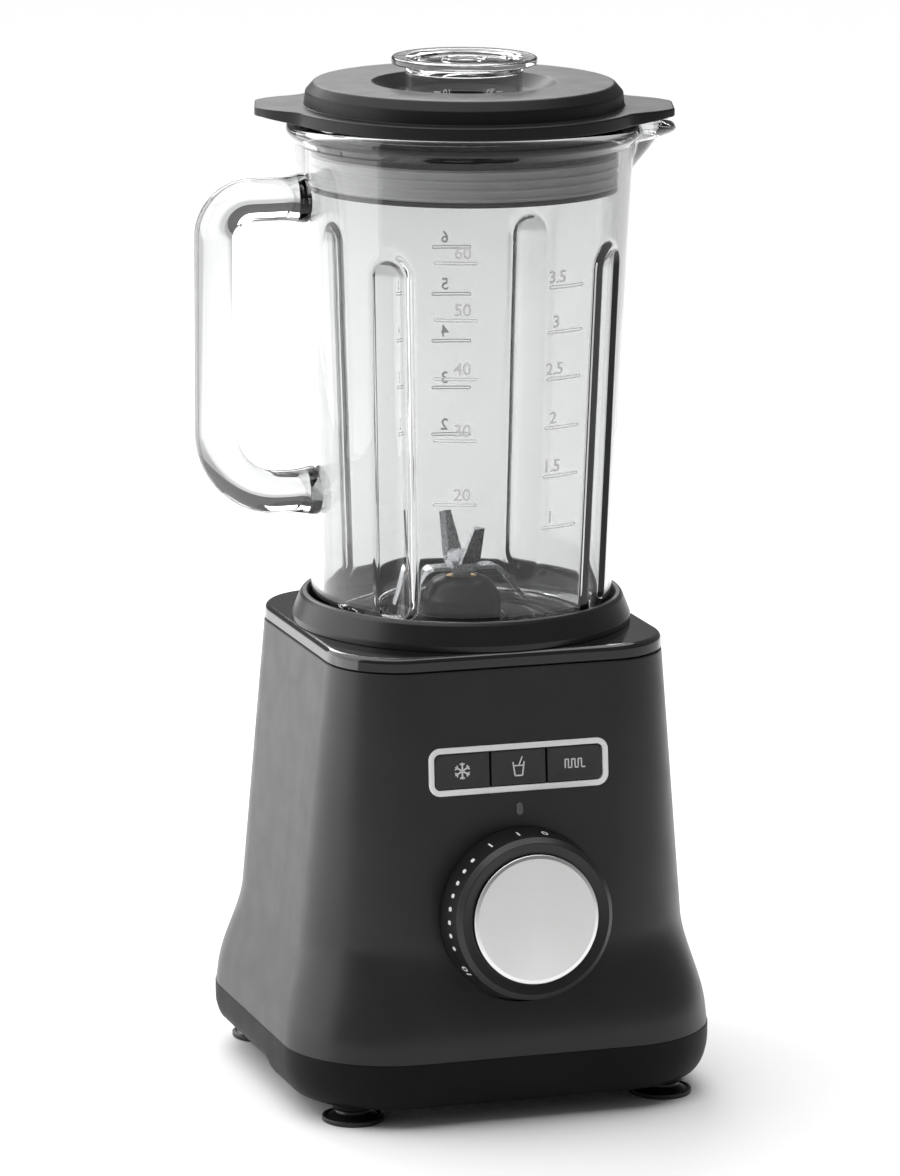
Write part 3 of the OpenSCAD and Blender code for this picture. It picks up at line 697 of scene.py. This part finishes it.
def make_frame():
    lip = FRAME_LIP
    proud = 0.8
    inner = [(lip, -4), (lip, proud - 0.5)]
    crown = [(lip / 2 + lip / 2 * math.cos(a), proud - 0.5 + 0.5 * math.sin(a))
             for a in steps(0, math.pi, 8)[1:-1]]
    outer = [(0, proud - 0.5), (0, 0.02), (lip - 1, 0.02), (lip - 1, -4)]
    rings = [
        ring_points(FRAME_W / 2 - i, FRAME_H / 2 - i, FRAME_CORNER - i, z, 12, 8)
        for i, z in inner + crown + outer
    ]
    place = on_front(BUTTON_Z)
    surround = solid("button_surround", mapped(weave(rings, loop=True), place))
    fit_out(surround, "base", "frame_plastic", "button_frame")


def button_outline(low, high, corner, left, right, inset, z):
    """A button's outline, rounded only at the outer end of the row."""
    points = []
    half_y = (FRAME_H / 2 - FRAME_LIP - 0.4) - inset
    sides = ((1, 1, right), (-1, 1, left), (-1, -1, left), (1, -1, right))
    for quarter, (sx, sy, big) in enumerate(sides):
        r = max((corner if big else 0.5) - inset, 0.05)
        cx = (high - inset - r) if sx > 0 else (low + inset + r)
        cy = sy * (half_y - r)
        points += [(cx + r * math.cos(math.radians(a)), cy + r * math.sin(math.radians(a)), z)
                   for a in steps(90 * quarter, 90 * quarter + 90, 5)]
    return points


def make_buttons():
    inner_w = FRAME_W - 2 * FRAME_LIP
    gap, divider = 0.4, 0.9
    mid = inner_w / 3 - divider
    corner = FRAME_CORNER - FRAME_LIP - gap
    spans = {
        "button_left": (-inner_w / 2 + gap, -mid / 2 - divider),
        "button_middle": (-mid / 2, mid / 2),
        "button_right": (mid / 2 + divider, inner_w / 2 - gap),
    }
    place = on_front(BUTTON_Z)
    for name, (low, high) in spans.items():
        left, right = name.endswith("left"), name.endswith("right")
        edge = 0.35
        rings = [(0, -2.8)] + eased(edge, 0, 4) + [(1.2, -0.01), (2.6, -0.06), (4.0, -0.1)]
        skin = weave([button_outline(low, high, corner, left, right, i, z) for i, z in rings])
        centre = (low + high) / 2
        stem = shifted(disc(1.8, -4.6, -2.7, 24), centre)
        cap = solid(name + "_cap", mapped(skin, place), mapped(stem, place))
        fit_out(cap, name, "button_plastic", name)
        art = [([(x * SIGN_SCALE + centre, y * SIGN_SCALE, w - 0.12) for x, y, w in points], faces)
               for points, faces in ICONS[name]()]
        sign = solid(name + "_sign", *[mapped(part, place) for part in art])
        plain(sign, PRINT, name, "frame_plastic")


def snow_sign():
    """A six-armed ice crystal."""
    parts = []
    for k in range(3):
        turn = math.radians(30 + 60 * k)
        parts.append(bar(2.7, 0.26, 0.2, 0, SIGN_DEPTH, turn=turn))
    for k in range(6):
        turn = math.radians(30 + 60 * k)
        for side in (-1, 1):
            at = Vector((math.cos(turn), math.sin(turn))) * 1.75
            arm = turn + side * math.radians(50)
            at += Vector((math.cos(arm), math.sin(arm))) * 0.5
            parts.append(bar(0.55, 0.2, 0.18, 0, SIGN_DEPTH, tuple(at), arm))
    return parts


def cup_sign():
    """A tumbler with a straw."""
    slope = math.radians(8)
    return [
        bar(0.22, 2.3, 0.2, 0, SIGN_DEPTH, (-1.55, -0.5), slope),
        bar(0.22, 2.3, 0.2, 0, SIGN_DEPTH, (1.55, -0.5), -slope),
        bar(1.3, 0.22, 0.2, 0, SIGN_DEPTH, (0, -2.7)),
        bar(1.5, 0.2, 0.18, 0, SIGN_DEPTH, (0, 0.5)),
        bar(0.2, 1.5, 0.18, 0, SIGN_DEPTH, (0.7, 2.0), -math.radians(24)),
    ]


def pulse_sign():
    """Square pulses."""
    parts = []
    for k in range(3):
        x = -3.2 + 2.2 * k
        parts.append(bar(0.2, 1.5, 0.18, 0, SIGN_DEPTH, (x, 0)))
        parts.append(bar(0.75, 0.2, 0.18, 0, SIGN_DEPTH, (x + 0.55, 1.35)))
        parts.append(bar(0.2, 1.5, 0.18, 0, SIGN_DEPTH, (x + 1.1, 0)))
        parts.append(bar(0.75, 0.2, 0.18, 0, SIGN_DEPTH, (x + 1.65, -1.35)))
    return parts


ICONS = {"button_left": snow_sign, "button_middle": cup_sign, "button_right": pulse_sign}


def make_mark():
    place = on_front(MARK_Z)
    pill = bar(1.4, 2.7, 1.38, 0.02, 0.9, edge=0.5)
    stem = bar(0.95, 2.25, 0.94, -2, 0.1)
    mark = solid("speed_mark", mapped(pill, place), mapped(stem, place))
    fit_out(mark, "base", "mark_plastic", "indicator_mark")


KNOB_GAP = 0.8
KNOB_R = 36
KNOB_DEPTH = 18
RIM_R = 33.9
RIM_DEPTH = 15.6
FACE_R = 27


def make_dial():
    place = on_front(DIAL.z)
    outline = rounded([
        (3, 0.6, 0), (3, 13.6, 0), (6.6, 13.6, 0.3), (6.6, 0, 0.3), (9, 0, 0.3), (9, 13.6, 0.5),
        (30.6, 13.6, 1), (33.4, 2.4, 0.5), (33.6, 0, 0.2), (KNOB_R, 0, 0.5), (KNOB_R, 2.4, 1.2),
        (RIM_R, RIM_DEPTH, 0.35), (31.7, KNOB_DEPTH, 0.4), (FACE_R + 0.3, 16.9, 0.3),
        (FACE_R + 0.3, 16, 0), (3, 16, 0)], 5)
    lifted = [(r, w + KNOB_GAP) for r, w in outline]
    knob = solid("dial_skirt", mapped(turned(lifted, 160), place))
    fit_out(knob, "dial", "knob_plastic", "dial_knob")
    cap = rounded([
        (0, 16.6, 0), (FACE_R, 16.6, 0.1), (FACE_R, 18.3, 0.55), (FACE_R - 1.6, 18.75, 0.8),
        (0, 18.8, 0)], 5, closed=False)
    face = solid("dial_disc", mapped(turned([(r, w + KNOB_GAP) for r, w in cap], 160), place))
    fit_out(face, "dial", "dial_metal", "dial_face")

    def on_skirt(middle):
        """Places u along the skirt's edge, v towards the dial's face and w out of its cone."""
        slope = math.atan2(KNOB_R - RIM_R, RIM_DEPTH - 2.4)

        def at(u, v, w):
            depth = 9.4 + v * math.cos(slope)
            r = KNOB_R - (depth - 2.4) * math.tan(slope) + w * math.cos(slope)
            a = middle - u / KNOB_R
            return place(r * math.cos(a), r * math.sin(a), depth + KNOB_GAP + w * math.sin(slope))

        return at

    thin = (-0.1, 0.07)
    marks = []
    for k in range(8):
        at = on_skirt(math.radians(134 + 9.2 * k))
        marks.append(mapped(bar(0.95, 1.25, 0.94, *thin), at))
    for words, angle in (("0", 78), ("I", 97), ("1", 118), ("10", 217)):
        at = on_skirt(math.radians(angle))
        marks.append(mapped(shifted(glyphs(words, 4.2, 0.17), z=-0.1), at))
    plain(solid("dial_marks", *marks), PRINT, "dial", "frame_plastic")


# ---- Jug ----

JUG_LOW, JUG_HIGH = span("glass_jug")
RIM_Z = JUG_HIGH.z
GRIP_X = 107.5
ROD_R = -JUG_LOW.x - GRIP_X
FLOOR_Z = 198
JUG_UNDER = 193
JUG_FOOT_R = 62.8
JUG_TAPER = 0.0385
GLASS = 5
BEAD_R = 4.2
FLUTE_R = 8
FLUTE_OUT = 4.2
FLUTE_GLASS = 5
FLUTE_BLEND = 4
FLUTE_FOOT = 213
FLUTE_TOP = 350
FLUTE_DEGREES = (45, 135, 225, 315)
FLUTE_ANGLES = [math.radians(a) for a in FLUTE_DEGREES]
SPOUT_FOOT = 383


def jug_r(z):
    return JUG_FOOT_R + JUG_TAPER * (z - FLOOR_Z)


def gap_to(angle, other):
    return abs((angle - other + math.pi) % (2 * math.pi) - math.pi)


def flute_reach(angle, z, radius):
    """How far out the flutes' bar of that radius lets the surface stand, or a large number."""
    beyond = max(FLUTE_FOOT - z, z - FLUTE_TOP, 0)
    if beyond >= radius:
        return 1e3
    r = math.sqrt(radius * radius - beyond * beyond)
    centre = jug_r(z) + FLUTE_OUT
    nearest = min(gap_to(angle, a) for a in FLUTE_ANGLES)
    across = centre * math.sin(nearest)
    if nearest > 0.5 or across >= r:
        return 1e3
    return centre * math.cos(nearest) - math.sqrt(r * r - across * across)


def spout_reach(angle, z, centre, foot_r, top_r):
    """How far out the spout's cone pushes the surface, or 0."""
    share = min(max((z - SPOUT_FOOT) / (RIM_Z - 4 - SPOUT_FOOT), 0), 1)
    if share <= 0:
        return 0
    r = foot_r + (top_r - foot_r) * share ** 0.9
    away = gap_to(angle, 0)
    across = centre * math.sin(away)
    if away > 1.2 or across >= r:
        return 0
    return centre * math.cos(away) + math.sqrt(r * r - across * across)


def jug_warp(outside):
    def warp(angle, r, z):
        wall_r = jug_r(z) - (0 if outside else GLASS)
        bar_r = FLUTE_R if outside else FLUTE_R + FLUTE_GLASS
        moved = soft_min(wall_r, flute_reach(angle, z, bar_r), FLUTE_BLEND) - wall_r
        if z > SPOUT_FOOT:
            cone = (60, 12, 28.5) if outside else (57, 9, 28.5)
            spout = spout_reach(angle, z, *cone)
            if spout > 0:
                moved = soft_max(wall_r, spout, 5) - wall_r
        dip = 3.4 * smooth(1 - gap_to(angle, 0) / 0.42) * smooth((z - 396) / 8)
        return r + moved, z - dip

    return warp


def jug_angles():
    """Angles round the jug: each half degree at a flute, each degree at the spout, or each 2.5."""
    angles = set()
    for half_degree in range(720):
        a = half_degree / 2
        near_flute = min(abs((a - f + 180) % 360 - 180) for f in FLUTE_DEGREES) < 11
        near_spout = min(a, 360 - a) < 32 and half_degree % 2 == 0
        if near_flute or near_spout or half_degree % 5 == 0:
            angles.add(math.radians(a))
    return sorted(angles)


def wall_levels(low, high):
    """Heights up the wall, closer together where the flutes end and where the spout begins."""
    levels, z = [], low
    while z < high:
        levels.append(z)
        near_end = FLUTE_FOOT - 13 < z < FLUTE_FOOT + 3 or FLUTE_TOP - 2 < z < FLUTE_TOP + 13
        z += 1.0 if near_end else 1.4 if z > SPOUT_FOOT - 3 else 7.0
    return levels + [high]


def arc_points(cr, cz, radius, start, end, count):
    return [(cr + radius * math.cos(math.radians(a)), cz + radius * math.sin(math.radians(a)))
            for a in steps(start, end, count)]


def handle_skin():
    """The rod of the handle: out of the wall, round both bends and back. Its roots flare a little."""
    upper_z, lower_z = 377.2, 254
    upper_bend, lower_bend = 15, 27
    root = GLASS * 0.55
    root_flare, flare_length = 1.2, 12
    line = [(-(jug_r(upper_z) - root), upper_z)]
    line += [(-x, upper_z) for x in steps(jug_r(upper_z) + 1, GRIP_X - upper_bend, 10)]
    line += arc_points(-GRIP_X + upper_bend, upper_z - upper_bend, upper_bend, 90, 180, 14)[1:]
    line += [(-GRIP_X, z) for z in steps(upper_z - upper_bend, lower_z + lower_bend, 14)[1:]]
    line += arc_points(-GRIP_X + lower_bend, lower_z + lower_bend, lower_bend, 180, 270, 18)[1:]
    line += [(-x, lower_z) for x in steps(GRIP_X - lower_bend, jug_r(lower_z) + 1, 10)[1:]]
    line.append((-(jug_r(lower_z) - root), lower_z))
    rings = []
    for i, (x, z) in enumerate(line):
        ahead, behind = line[min(i + 1, len(line) - 1)], line[max(i - 1, 0)]
        along = Vector((ahead[0] - behind[0], 0, ahead[1] - behind[1])).normalized()
        across = Vector((-along.z, 0, along.x))
        out = -x - jug_r(z)
        r = ROD_R + root_flare * smooth(1 - out / flare_length) ** 2
        rings.append([
            tuple(Vector((x, 0, z)) + across * (r * math.cos(a)) + Vector((0, r * math.sin(a), 0)))
            for a in steps(0, 2 * math.pi, 40)[:-1]
        ])
    return weave(rings)


def make_jug():
    bead_z = RIM_Z - BEAD_R
    bead_at = jug_r(bead_z) - GLASS + BEAD_R
    heel = 6
    inner_bend = 10
    bend_z = FLOOR_Z + inner_bend
    inner_foot = jug_r(bend_z) - GLASS - inner_bend
    outer = [(jug_r(z), z) for z in wall_levels(JUG_UNDER + heel, bead_z - 5)]
    inner = [(jug_r(z) - GLASS, z) for z in wall_levels(bend_z, bead_z - 2)]
    under = rounded([
        (17.3, JUG_UNDER, 0.4), (31, JUG_UNDER, 0.8), (31, JUG_LOW.z, 0.8),
        (36, JUG_LOW.z, 0.8), (36, JUG_UNDER, 1.2), (JUG_FOOT_R - heel, JUG_UNDER, 0)],
        4, closed=False)
    under += arc_points(JUG_FOOT_R - heel, JUG_UNDER + heel, heel, -90, 0, 8)[1:-1]
    bead = arc_points(bead_at, bead_z, BEAD_R, -38, 168, 18)
    floor = arc_points(inner_foot, bend_z, inner_bend, 0, -90, 8)[1:]
    floor += [(30, FLOOR_Z), (18, FLOOR_Z)]
    angles = jug_angles()
    outside, inside = jug_warp(True), jug_warp(False)

    def rings_of(points, warp):
        return [[(rr * math.cos(a), rr * math.sin(a), zz)
                 for a in angles for rr, zz in [warp(a, r, z)]] for r, z in points]

    rings = rings_of(under + outer, outside)
    half = len(bead) * 2 // 3
    rings += rings_of(bead[:half], outside) + rings_of(bead[half:], inside)
    rings += rings_of(inner[::-1] + floor, inside)
    jug = solid("jug_glass", weave(rings, loop=True), sharp=60)
    rod = solid("rod", handle_skin())
    combine(jug, "UNION", rod, sharp=60)
    fit_out(jug, "jug", "glass", "glass_jug")


def on_wall(middle, base):
    """Places x round the outside of the glass, y up it and w out of it."""
    def at(x, y, w):
        z = base + y
        r = jug_r(z) + w
        a = middle + x / jug_r(z)
        return (r * math.cos(a), r * math.sin(a), z)

    return at


def make_scale():
    """Raised fluid ounces and pints at the front, and cups at the back."""
    left = [("60", 357.8), ("50", 334.1), ("40", 309.6), ("30", 283.8), ("20", 256.8)]
    right = [("3.5", 346.3), ("3", 327.6), ("2.5", 308), ("2", 287.5), ("1.5", 267.1), ("1", 245.4)]
    cups = [(str(k), 222 + 20.2 * k) for k in range(2, 8)]
    parts = []
    for column, middle, side in ((left, -111, 3), (right, -70, -5), (cups, 76, 3)):
        turn = math.radians(middle)
        for words, z in column:
            at = on_wall(turn, z)
            parts.append(mapped(hoop(9, 0.75, 0.74, 0.4, -0.1, 0.3), at))
            parts.append(mapped(shifted(glyphs(words, 5, 0.4), side, 4.4, -0.1), at))
    plain(solid("jug_scale", *parts), FROST, "jug", "glass")


def make_blade_holder():
    low, high = span("blade_base")
    outline = rounded([
        (6.55, low.z, 0.2), (high.x, low.z, 0.5), (high.x, 191, 0.5), (17.2, 191, 0.3),
        (17.2, 198.2, 0.4), (16.8, 198.6, 0.3), (16.6, 205.5, 3.2), (12.6, 212.6, 4.5),
        (6.55, high.z, 0.3)], 6)
    holder = solid("blade_dome", turned(outline, 96))
    fit_out(holder, "jug", "ring_plastic", "blade_base")


def blade_wing(turn, root, bend, tip, width, tip_width, thick=1.6):
    """One arm of a blade with a ground edge: from its root out to the bend, then to the tip."""
    line = [Vector((root[0], 0, root[1])), Vector((bend[0] - 1.5, 0, bend[1]))]
    tip_at = Vector((tip[0], 0, tip[1]))
    bend_at = Vector((bend[0], 0, bend[1]))
    toward = (tip_at - bend_at).normalized()
    line += [bend_at + toward * 1.2 + (line[1] - bend_at).normalized() * 0.1, tip_at]
    rings = []
    for i, at in enumerate(line):
        ahead = line[min(i + 1, len(line) - 1)] - line[max(i - 1, 0)]
        normal = Vector((-ahead.z, 0, ahead.x)).normalized()
        w = width if i < 3 else tip_width
        lead = -width / 2
        ground = 2.4 if i >= 2 else 0.2
        section = [(lead, 0), (lead + w - ground, 0), (lead + w, 0.25), (lead + w, 0.45),
                   (lead + w - ground, thick), (lead, thick)]
        rings.append([tuple(at + Vector((0, y, 0)) + normal * n) for y, n in section])
    points, faces = weave(rings)
    spin = Matrix.Rotation(turn, 3, "Z")
    return [tuple(spin @ Vector(p)) for p in points], faces


def make_blades():
    """Two flat discs, each with two arms bent down or up, with sharp ground edges."""
    thick = 1.6
    hub = [(4, 0), (7.4, 0), (7.4, thick), (4, thick)]
    low_z, up_z = span("lower_blade")[1].z - thick, span("upper_blade")[0].z
    for name, node_name, z, bend, tip, turns in (
            ("blade_lower", "lower_blade", low_z, 15, (26.6, 202.6), (0, 180)),
            ("blade_upper", "upper_blade", up_z, 7.8, (19.6, 237.6), (100, 280))):
        blade = solid(name, turned([(r, w + z) for r, w in hub], 48), sharp=20)
        arms = [solid("arm", blade_wing(math.radians(a), (5, z), (bend, z), tip, 9, 5), sharp=20)
                for a in turns]
        combine(blade, "UNION", *arms, sharp=20)
        fit_out(blade, "blades", "blade_steel", node_name)


# ---- Lid and cap ----

LID_TOP = span("lid")[1].z
LID_R = 74.2
TAB_REACH = 87
TAB_ANGLE = math.radians(-17)


def lid_warp(angle, r, z):
    """Draws the flange out into the two tabs."""
    away = min(gap_to(angle, TAB_ANGLE), gap_to(angle, TAB_ANGLE + math.pi))
    share = 1 - smooth((math.degrees(away) - 8.5) / 16)
    if r < LID_R - 1.6:
        return r, z
    edge = min(TAB_REACH / math.cos(min(away, 0.2)), TAB_REACH + 1.0)
    corner = 1.6 * smooth((math.degrees(away) - 7) / 4)
    out = (edge - corner - LID_R) * share
    lifted = z + 1.9 * share if z < 411 else z
    return r + out, lifted


def make_lid():
    top = LID_TOP
    plug_z, flange_z = 395.3, RIM_Z + 0.3
    outline = rounded([
        (21.6, 392.4, 0.3), (27, 392.4, 0.4), (27, 413.4, 0.6), (32, 415.6, 1.5), (39, 420.7, 1.5),
        (60, 420.7, 1.2), (61.6, 418, 1), (58.4, 413, 1), (58.4, 380, 0.3), (60.8, 380, 0.3),
        (60.8, plug_z, 0.2), (63.6, plug_z, 0.4), (63.6, flange_z, 0.5), (LID_R, flange_z, 0.7),
        (LID_R, 413.7, 0.8), (66.6, 413.7, 0.5), (66.1, 419.2, 2), (62.6, top, 1.8),
        (38.4, top, 1.6), (31.4, 418.2, 4), (26.4, 416, 0.8), (24.8, 415.9, 0.5),
        (24.8, 394.4, 0.3), (21.6, 394.4, 0.3)], 6)
    angles = set(steps(0, 2 * math.pi, 144)[:-1])
    for centre in (TAB_ANGLE, TAB_ANGLE + math.pi):
        angles |= {(centre + math.radians(a)) % (2 * math.pi) for a in steps(-26, 26, 52)}
    kept = []
    for a in sorted(angles):
        if not kept or a - kept[-1] > 0.004:
            kept.append(a)
    lid = solid("lid_shell", turned(outline, angles=kept, warp=lid_warp))
    fit_out(lid, "lid", "lid_plastic", "lid")


def make_sleeve():
    low, high = span("lid_sleeve")
    rib_r, wall_r, bore = high.x, 63.2, 61
    corners = [(bore, low.z, 0.3), (wall_r, low.z, 0.3)]
    for k in range(4):
        z = low.z + 0.6 + 3.7 * k
        corners += [(wall_r, z, 0.25), (rib_r, z + 0.1, 0.4), (rib_r, z + 1.1, 0.4),
                    (wall_r, z + 1.2, 0.25)]
    corners += [(wall_r, high.z, 0.3), (bore, high.z, 0.3)]
    sleeve = solid("plug_sleeve", turned(rounded(corners, 3), 160))
    fit_out(sleeve, "lid", "silicone", "lid_sleeve")
    low, high = span("lid_seal_ring")
    ring = rounded([(bore, low.z, 0.3), (high.x, low.z, 0.8), (high.x, high.z, 0.8),
                    (bore, high.z, 0.3)], 4)
    seal = solid("plug_seal", turned(ring, 160))
    fit_out(seal, "lid", "seal_rubber", "lid_seal_ring")


def make_cap():
    low, high = span("measuring_cap")
    top, r_out = high.z, high.x
    body_r, wall = 24.3, 2.3
    outline = rounded([
        (0, top - 4, 0), (20.4, top - 4, 1), (body_r - wall, top - 6.2, 1.2),
        (body_r - wall, low.z, 0.5), (body_r, low.z, 0.7), (body_r, top - 2.9, 0.6),
        (r_out, top - 2.9, 0.7), (r_out, top, 0.9), (24.4, top, 0.6), (23.2, top - 1.5, 0.6),
        (20.6, top - 1.5, 0.4), (19.8, top - 0.7, 0.5), (18.2, top - 0.7, 0.4),
        (17.4, top - 1.4, 0.4), (9.4, top - 0.9, 0.4), (8.6, top - 1.5, 0.3), (7.6, top - 1.5, 0.3),
        (6.8, top - 0.8, 0.4), (0, top - 0.5, 0)],
        5, closed=False)
    cap = solid("cap_clear_body", turned(outline, 144))
    fit_out(cap, "cap", "cap_clear", "measuring_cap")

    def on_cap(middle):
        def at(x, y, w):
            r = body_r + w
            return (r * math.cos(middle + x / body_r), r * math.sin(middle + x / body_r),
                    421.4 - y)

        return at

    parts = []
    for words, middle, side in (("10", -125, -1), ("20", -82, 1)):
        turn = math.radians(middle)
        raised = glyphs(words, 2.6, 0.3)
        parts.append(mapped(raised, lambda x, y, w, t=turn: on_cap(t)(-x, y, w - 0.05)))
        parts.append(mapped(bar(1.5, 0.18, 0.16, -0.05, 0.25, (side * 4.4, 0)), on_cap(turn)))
    plain(solid("cap_scale", *parts), FROST, "cap", "cap_clear")


for make in (
        make_housing, make_top_cover, make_seat_ring, make_bottom_cover, make_feet, make_frame,
        make_buttons, make_mark, make_dial, make_jug, make_scale, make_blade_holder, make_blades,
        make_lid, make_sleeve, make_cap):
    make()

# ---- Floor, light and camera ----

# The camera looks along VIEW_FORWARD over the floor, and the paper sweep is laid square to it.
VIEW_AZIMUTH = math.radians(-18.32)
VIEW_FORWARD = Vector((-math.sin(VIEW_AZIMUTH), math.cos(VIEW_AZIMUTH), 0))
VIEW_RIGHT = Vector((math.cos(VIEW_AZIMUTH), math.sin(VIEW_AZIMUTH), 0))


def floor_share(tree, direction, low, high):
    """Rises from 0 to 1 between two distances in metres along a direction on the floor."""
    along = vectors(tree, "DOT_PRODUCT", where(tree), tuple(direction), out="Value")
    return node(tree, "ShaderNodeMapRange", {
        "Value": along, "From Min": low, "From Max": high,
    }, interpolation_type="SMOOTHSTEP").outputs["Result"]


def make_stage():
    """White paper on a pale grey floor, with soft edges. It fills the photograph's view."""
    half = 14
    mesh = bpy.data.meshes.new("floor")
    mesh.from_pydata([(-half, -half, 0), (half, -half, 0), (half, half, 0), (-half, half, 0)],
                     [], [(0, 1, 2, 3)])
    floor = placed("floor", mesh)
    material, tree, shader = new_finish("floor_paper", (0.9, 0.9, 0.9), 0.9)
    paper = floor_share(tree, VIEW_FORWARD, -0.6, -0.28)
    left = floor_share(tree, VIEW_RIGHT, -1.6, -1.0)
    right = floor_share(tree, -VIEW_RIGHT, -0.85, -0.55)
    for side in (left, right):
        paper = maths(tree, "MULTIPLY", paper, side)
    tinted(tree, shader, paper, (0.56,) * 3, (0.92,) * 3)
    mesh.materials.append(material)


def lamp(name, kind, energy, at, aim, **settings):
    """A lamp aimed at a point. The camera doesn't see it directly."""
    data = bpy.data.lights.new(name, kind)
    data.energy = energy
    for key, value in settings.items():
        setattr(data, key, value)
    made = placed(name, data)
    made.visible_camera = False
    made.location = at
    made.rotation_euler = (Vector(aim) - Vector(at)).to_track_quat("-Z", "Y").to_euler()


def make_light():
    world = bpy.data.worlds.new("studio")
    bpy.context.scene.world = world
    world.use_nodes = True
    background = world.node_tree.nodes["Background"]
    background.inputs["Color"].default_value = (1, 1, 1, 1)
    background.inputs["Strength"].default_value = 0.19
    lamp("key", "SUN", 2.9, (-0.25, 0.6, 3), (0, 0, 0), angle=math.radians(80))
    lamp("left_wall", "AREA", 15, (-1.0, 0.78, 0.65), (-0.012, 0.624, 0.65), shape="RECTANGLE",
         size=2.09, size_y=1.3)
    lamp("back_top", "AREA", 26, (0.1, 2.2, 1.5), (0, 0, 0.4), shape="RECTANGLE",
         size=1.8, size_y=0.8)


def make_camera():
    azimuth, elevation = VIEW_AZIMUTH, math.radians(12.155)
    distance, roll = 2.722, math.radians(0.316)
    aim = AXIS + Vector((-0.0045, 0.0015, 0.208))
    back = Vector((math.sin(azimuth) * math.cos(elevation),
                   -math.cos(azimuth) * math.cos(elevation), math.sin(elevation)))
    right = Vector((0, 0, 1)).cross(back).normalized()
    up = back.cross(right)
    turned_right = right * math.cos(roll) + up * math.sin(roll)
    turned_up = up * math.cos(roll) - right * math.sin(roll)
    data = bpy.data.cameras.new("camera")
    data.lens = 197.53
    data.sensor_width = 36
    data.clip_end = 100
    camera = placed("camera", data)
    turn = Matrix((turned_right, turned_up, back)).transposed().to_4x4()
    camera.matrix_world = Matrix.Translation(aim + back * distance) @ turn
    bpy.context.scene.camera = camera


make_stage()
make_light()
make_camera()
bpy.context.scene.view_settings.view_transform = "Standard"
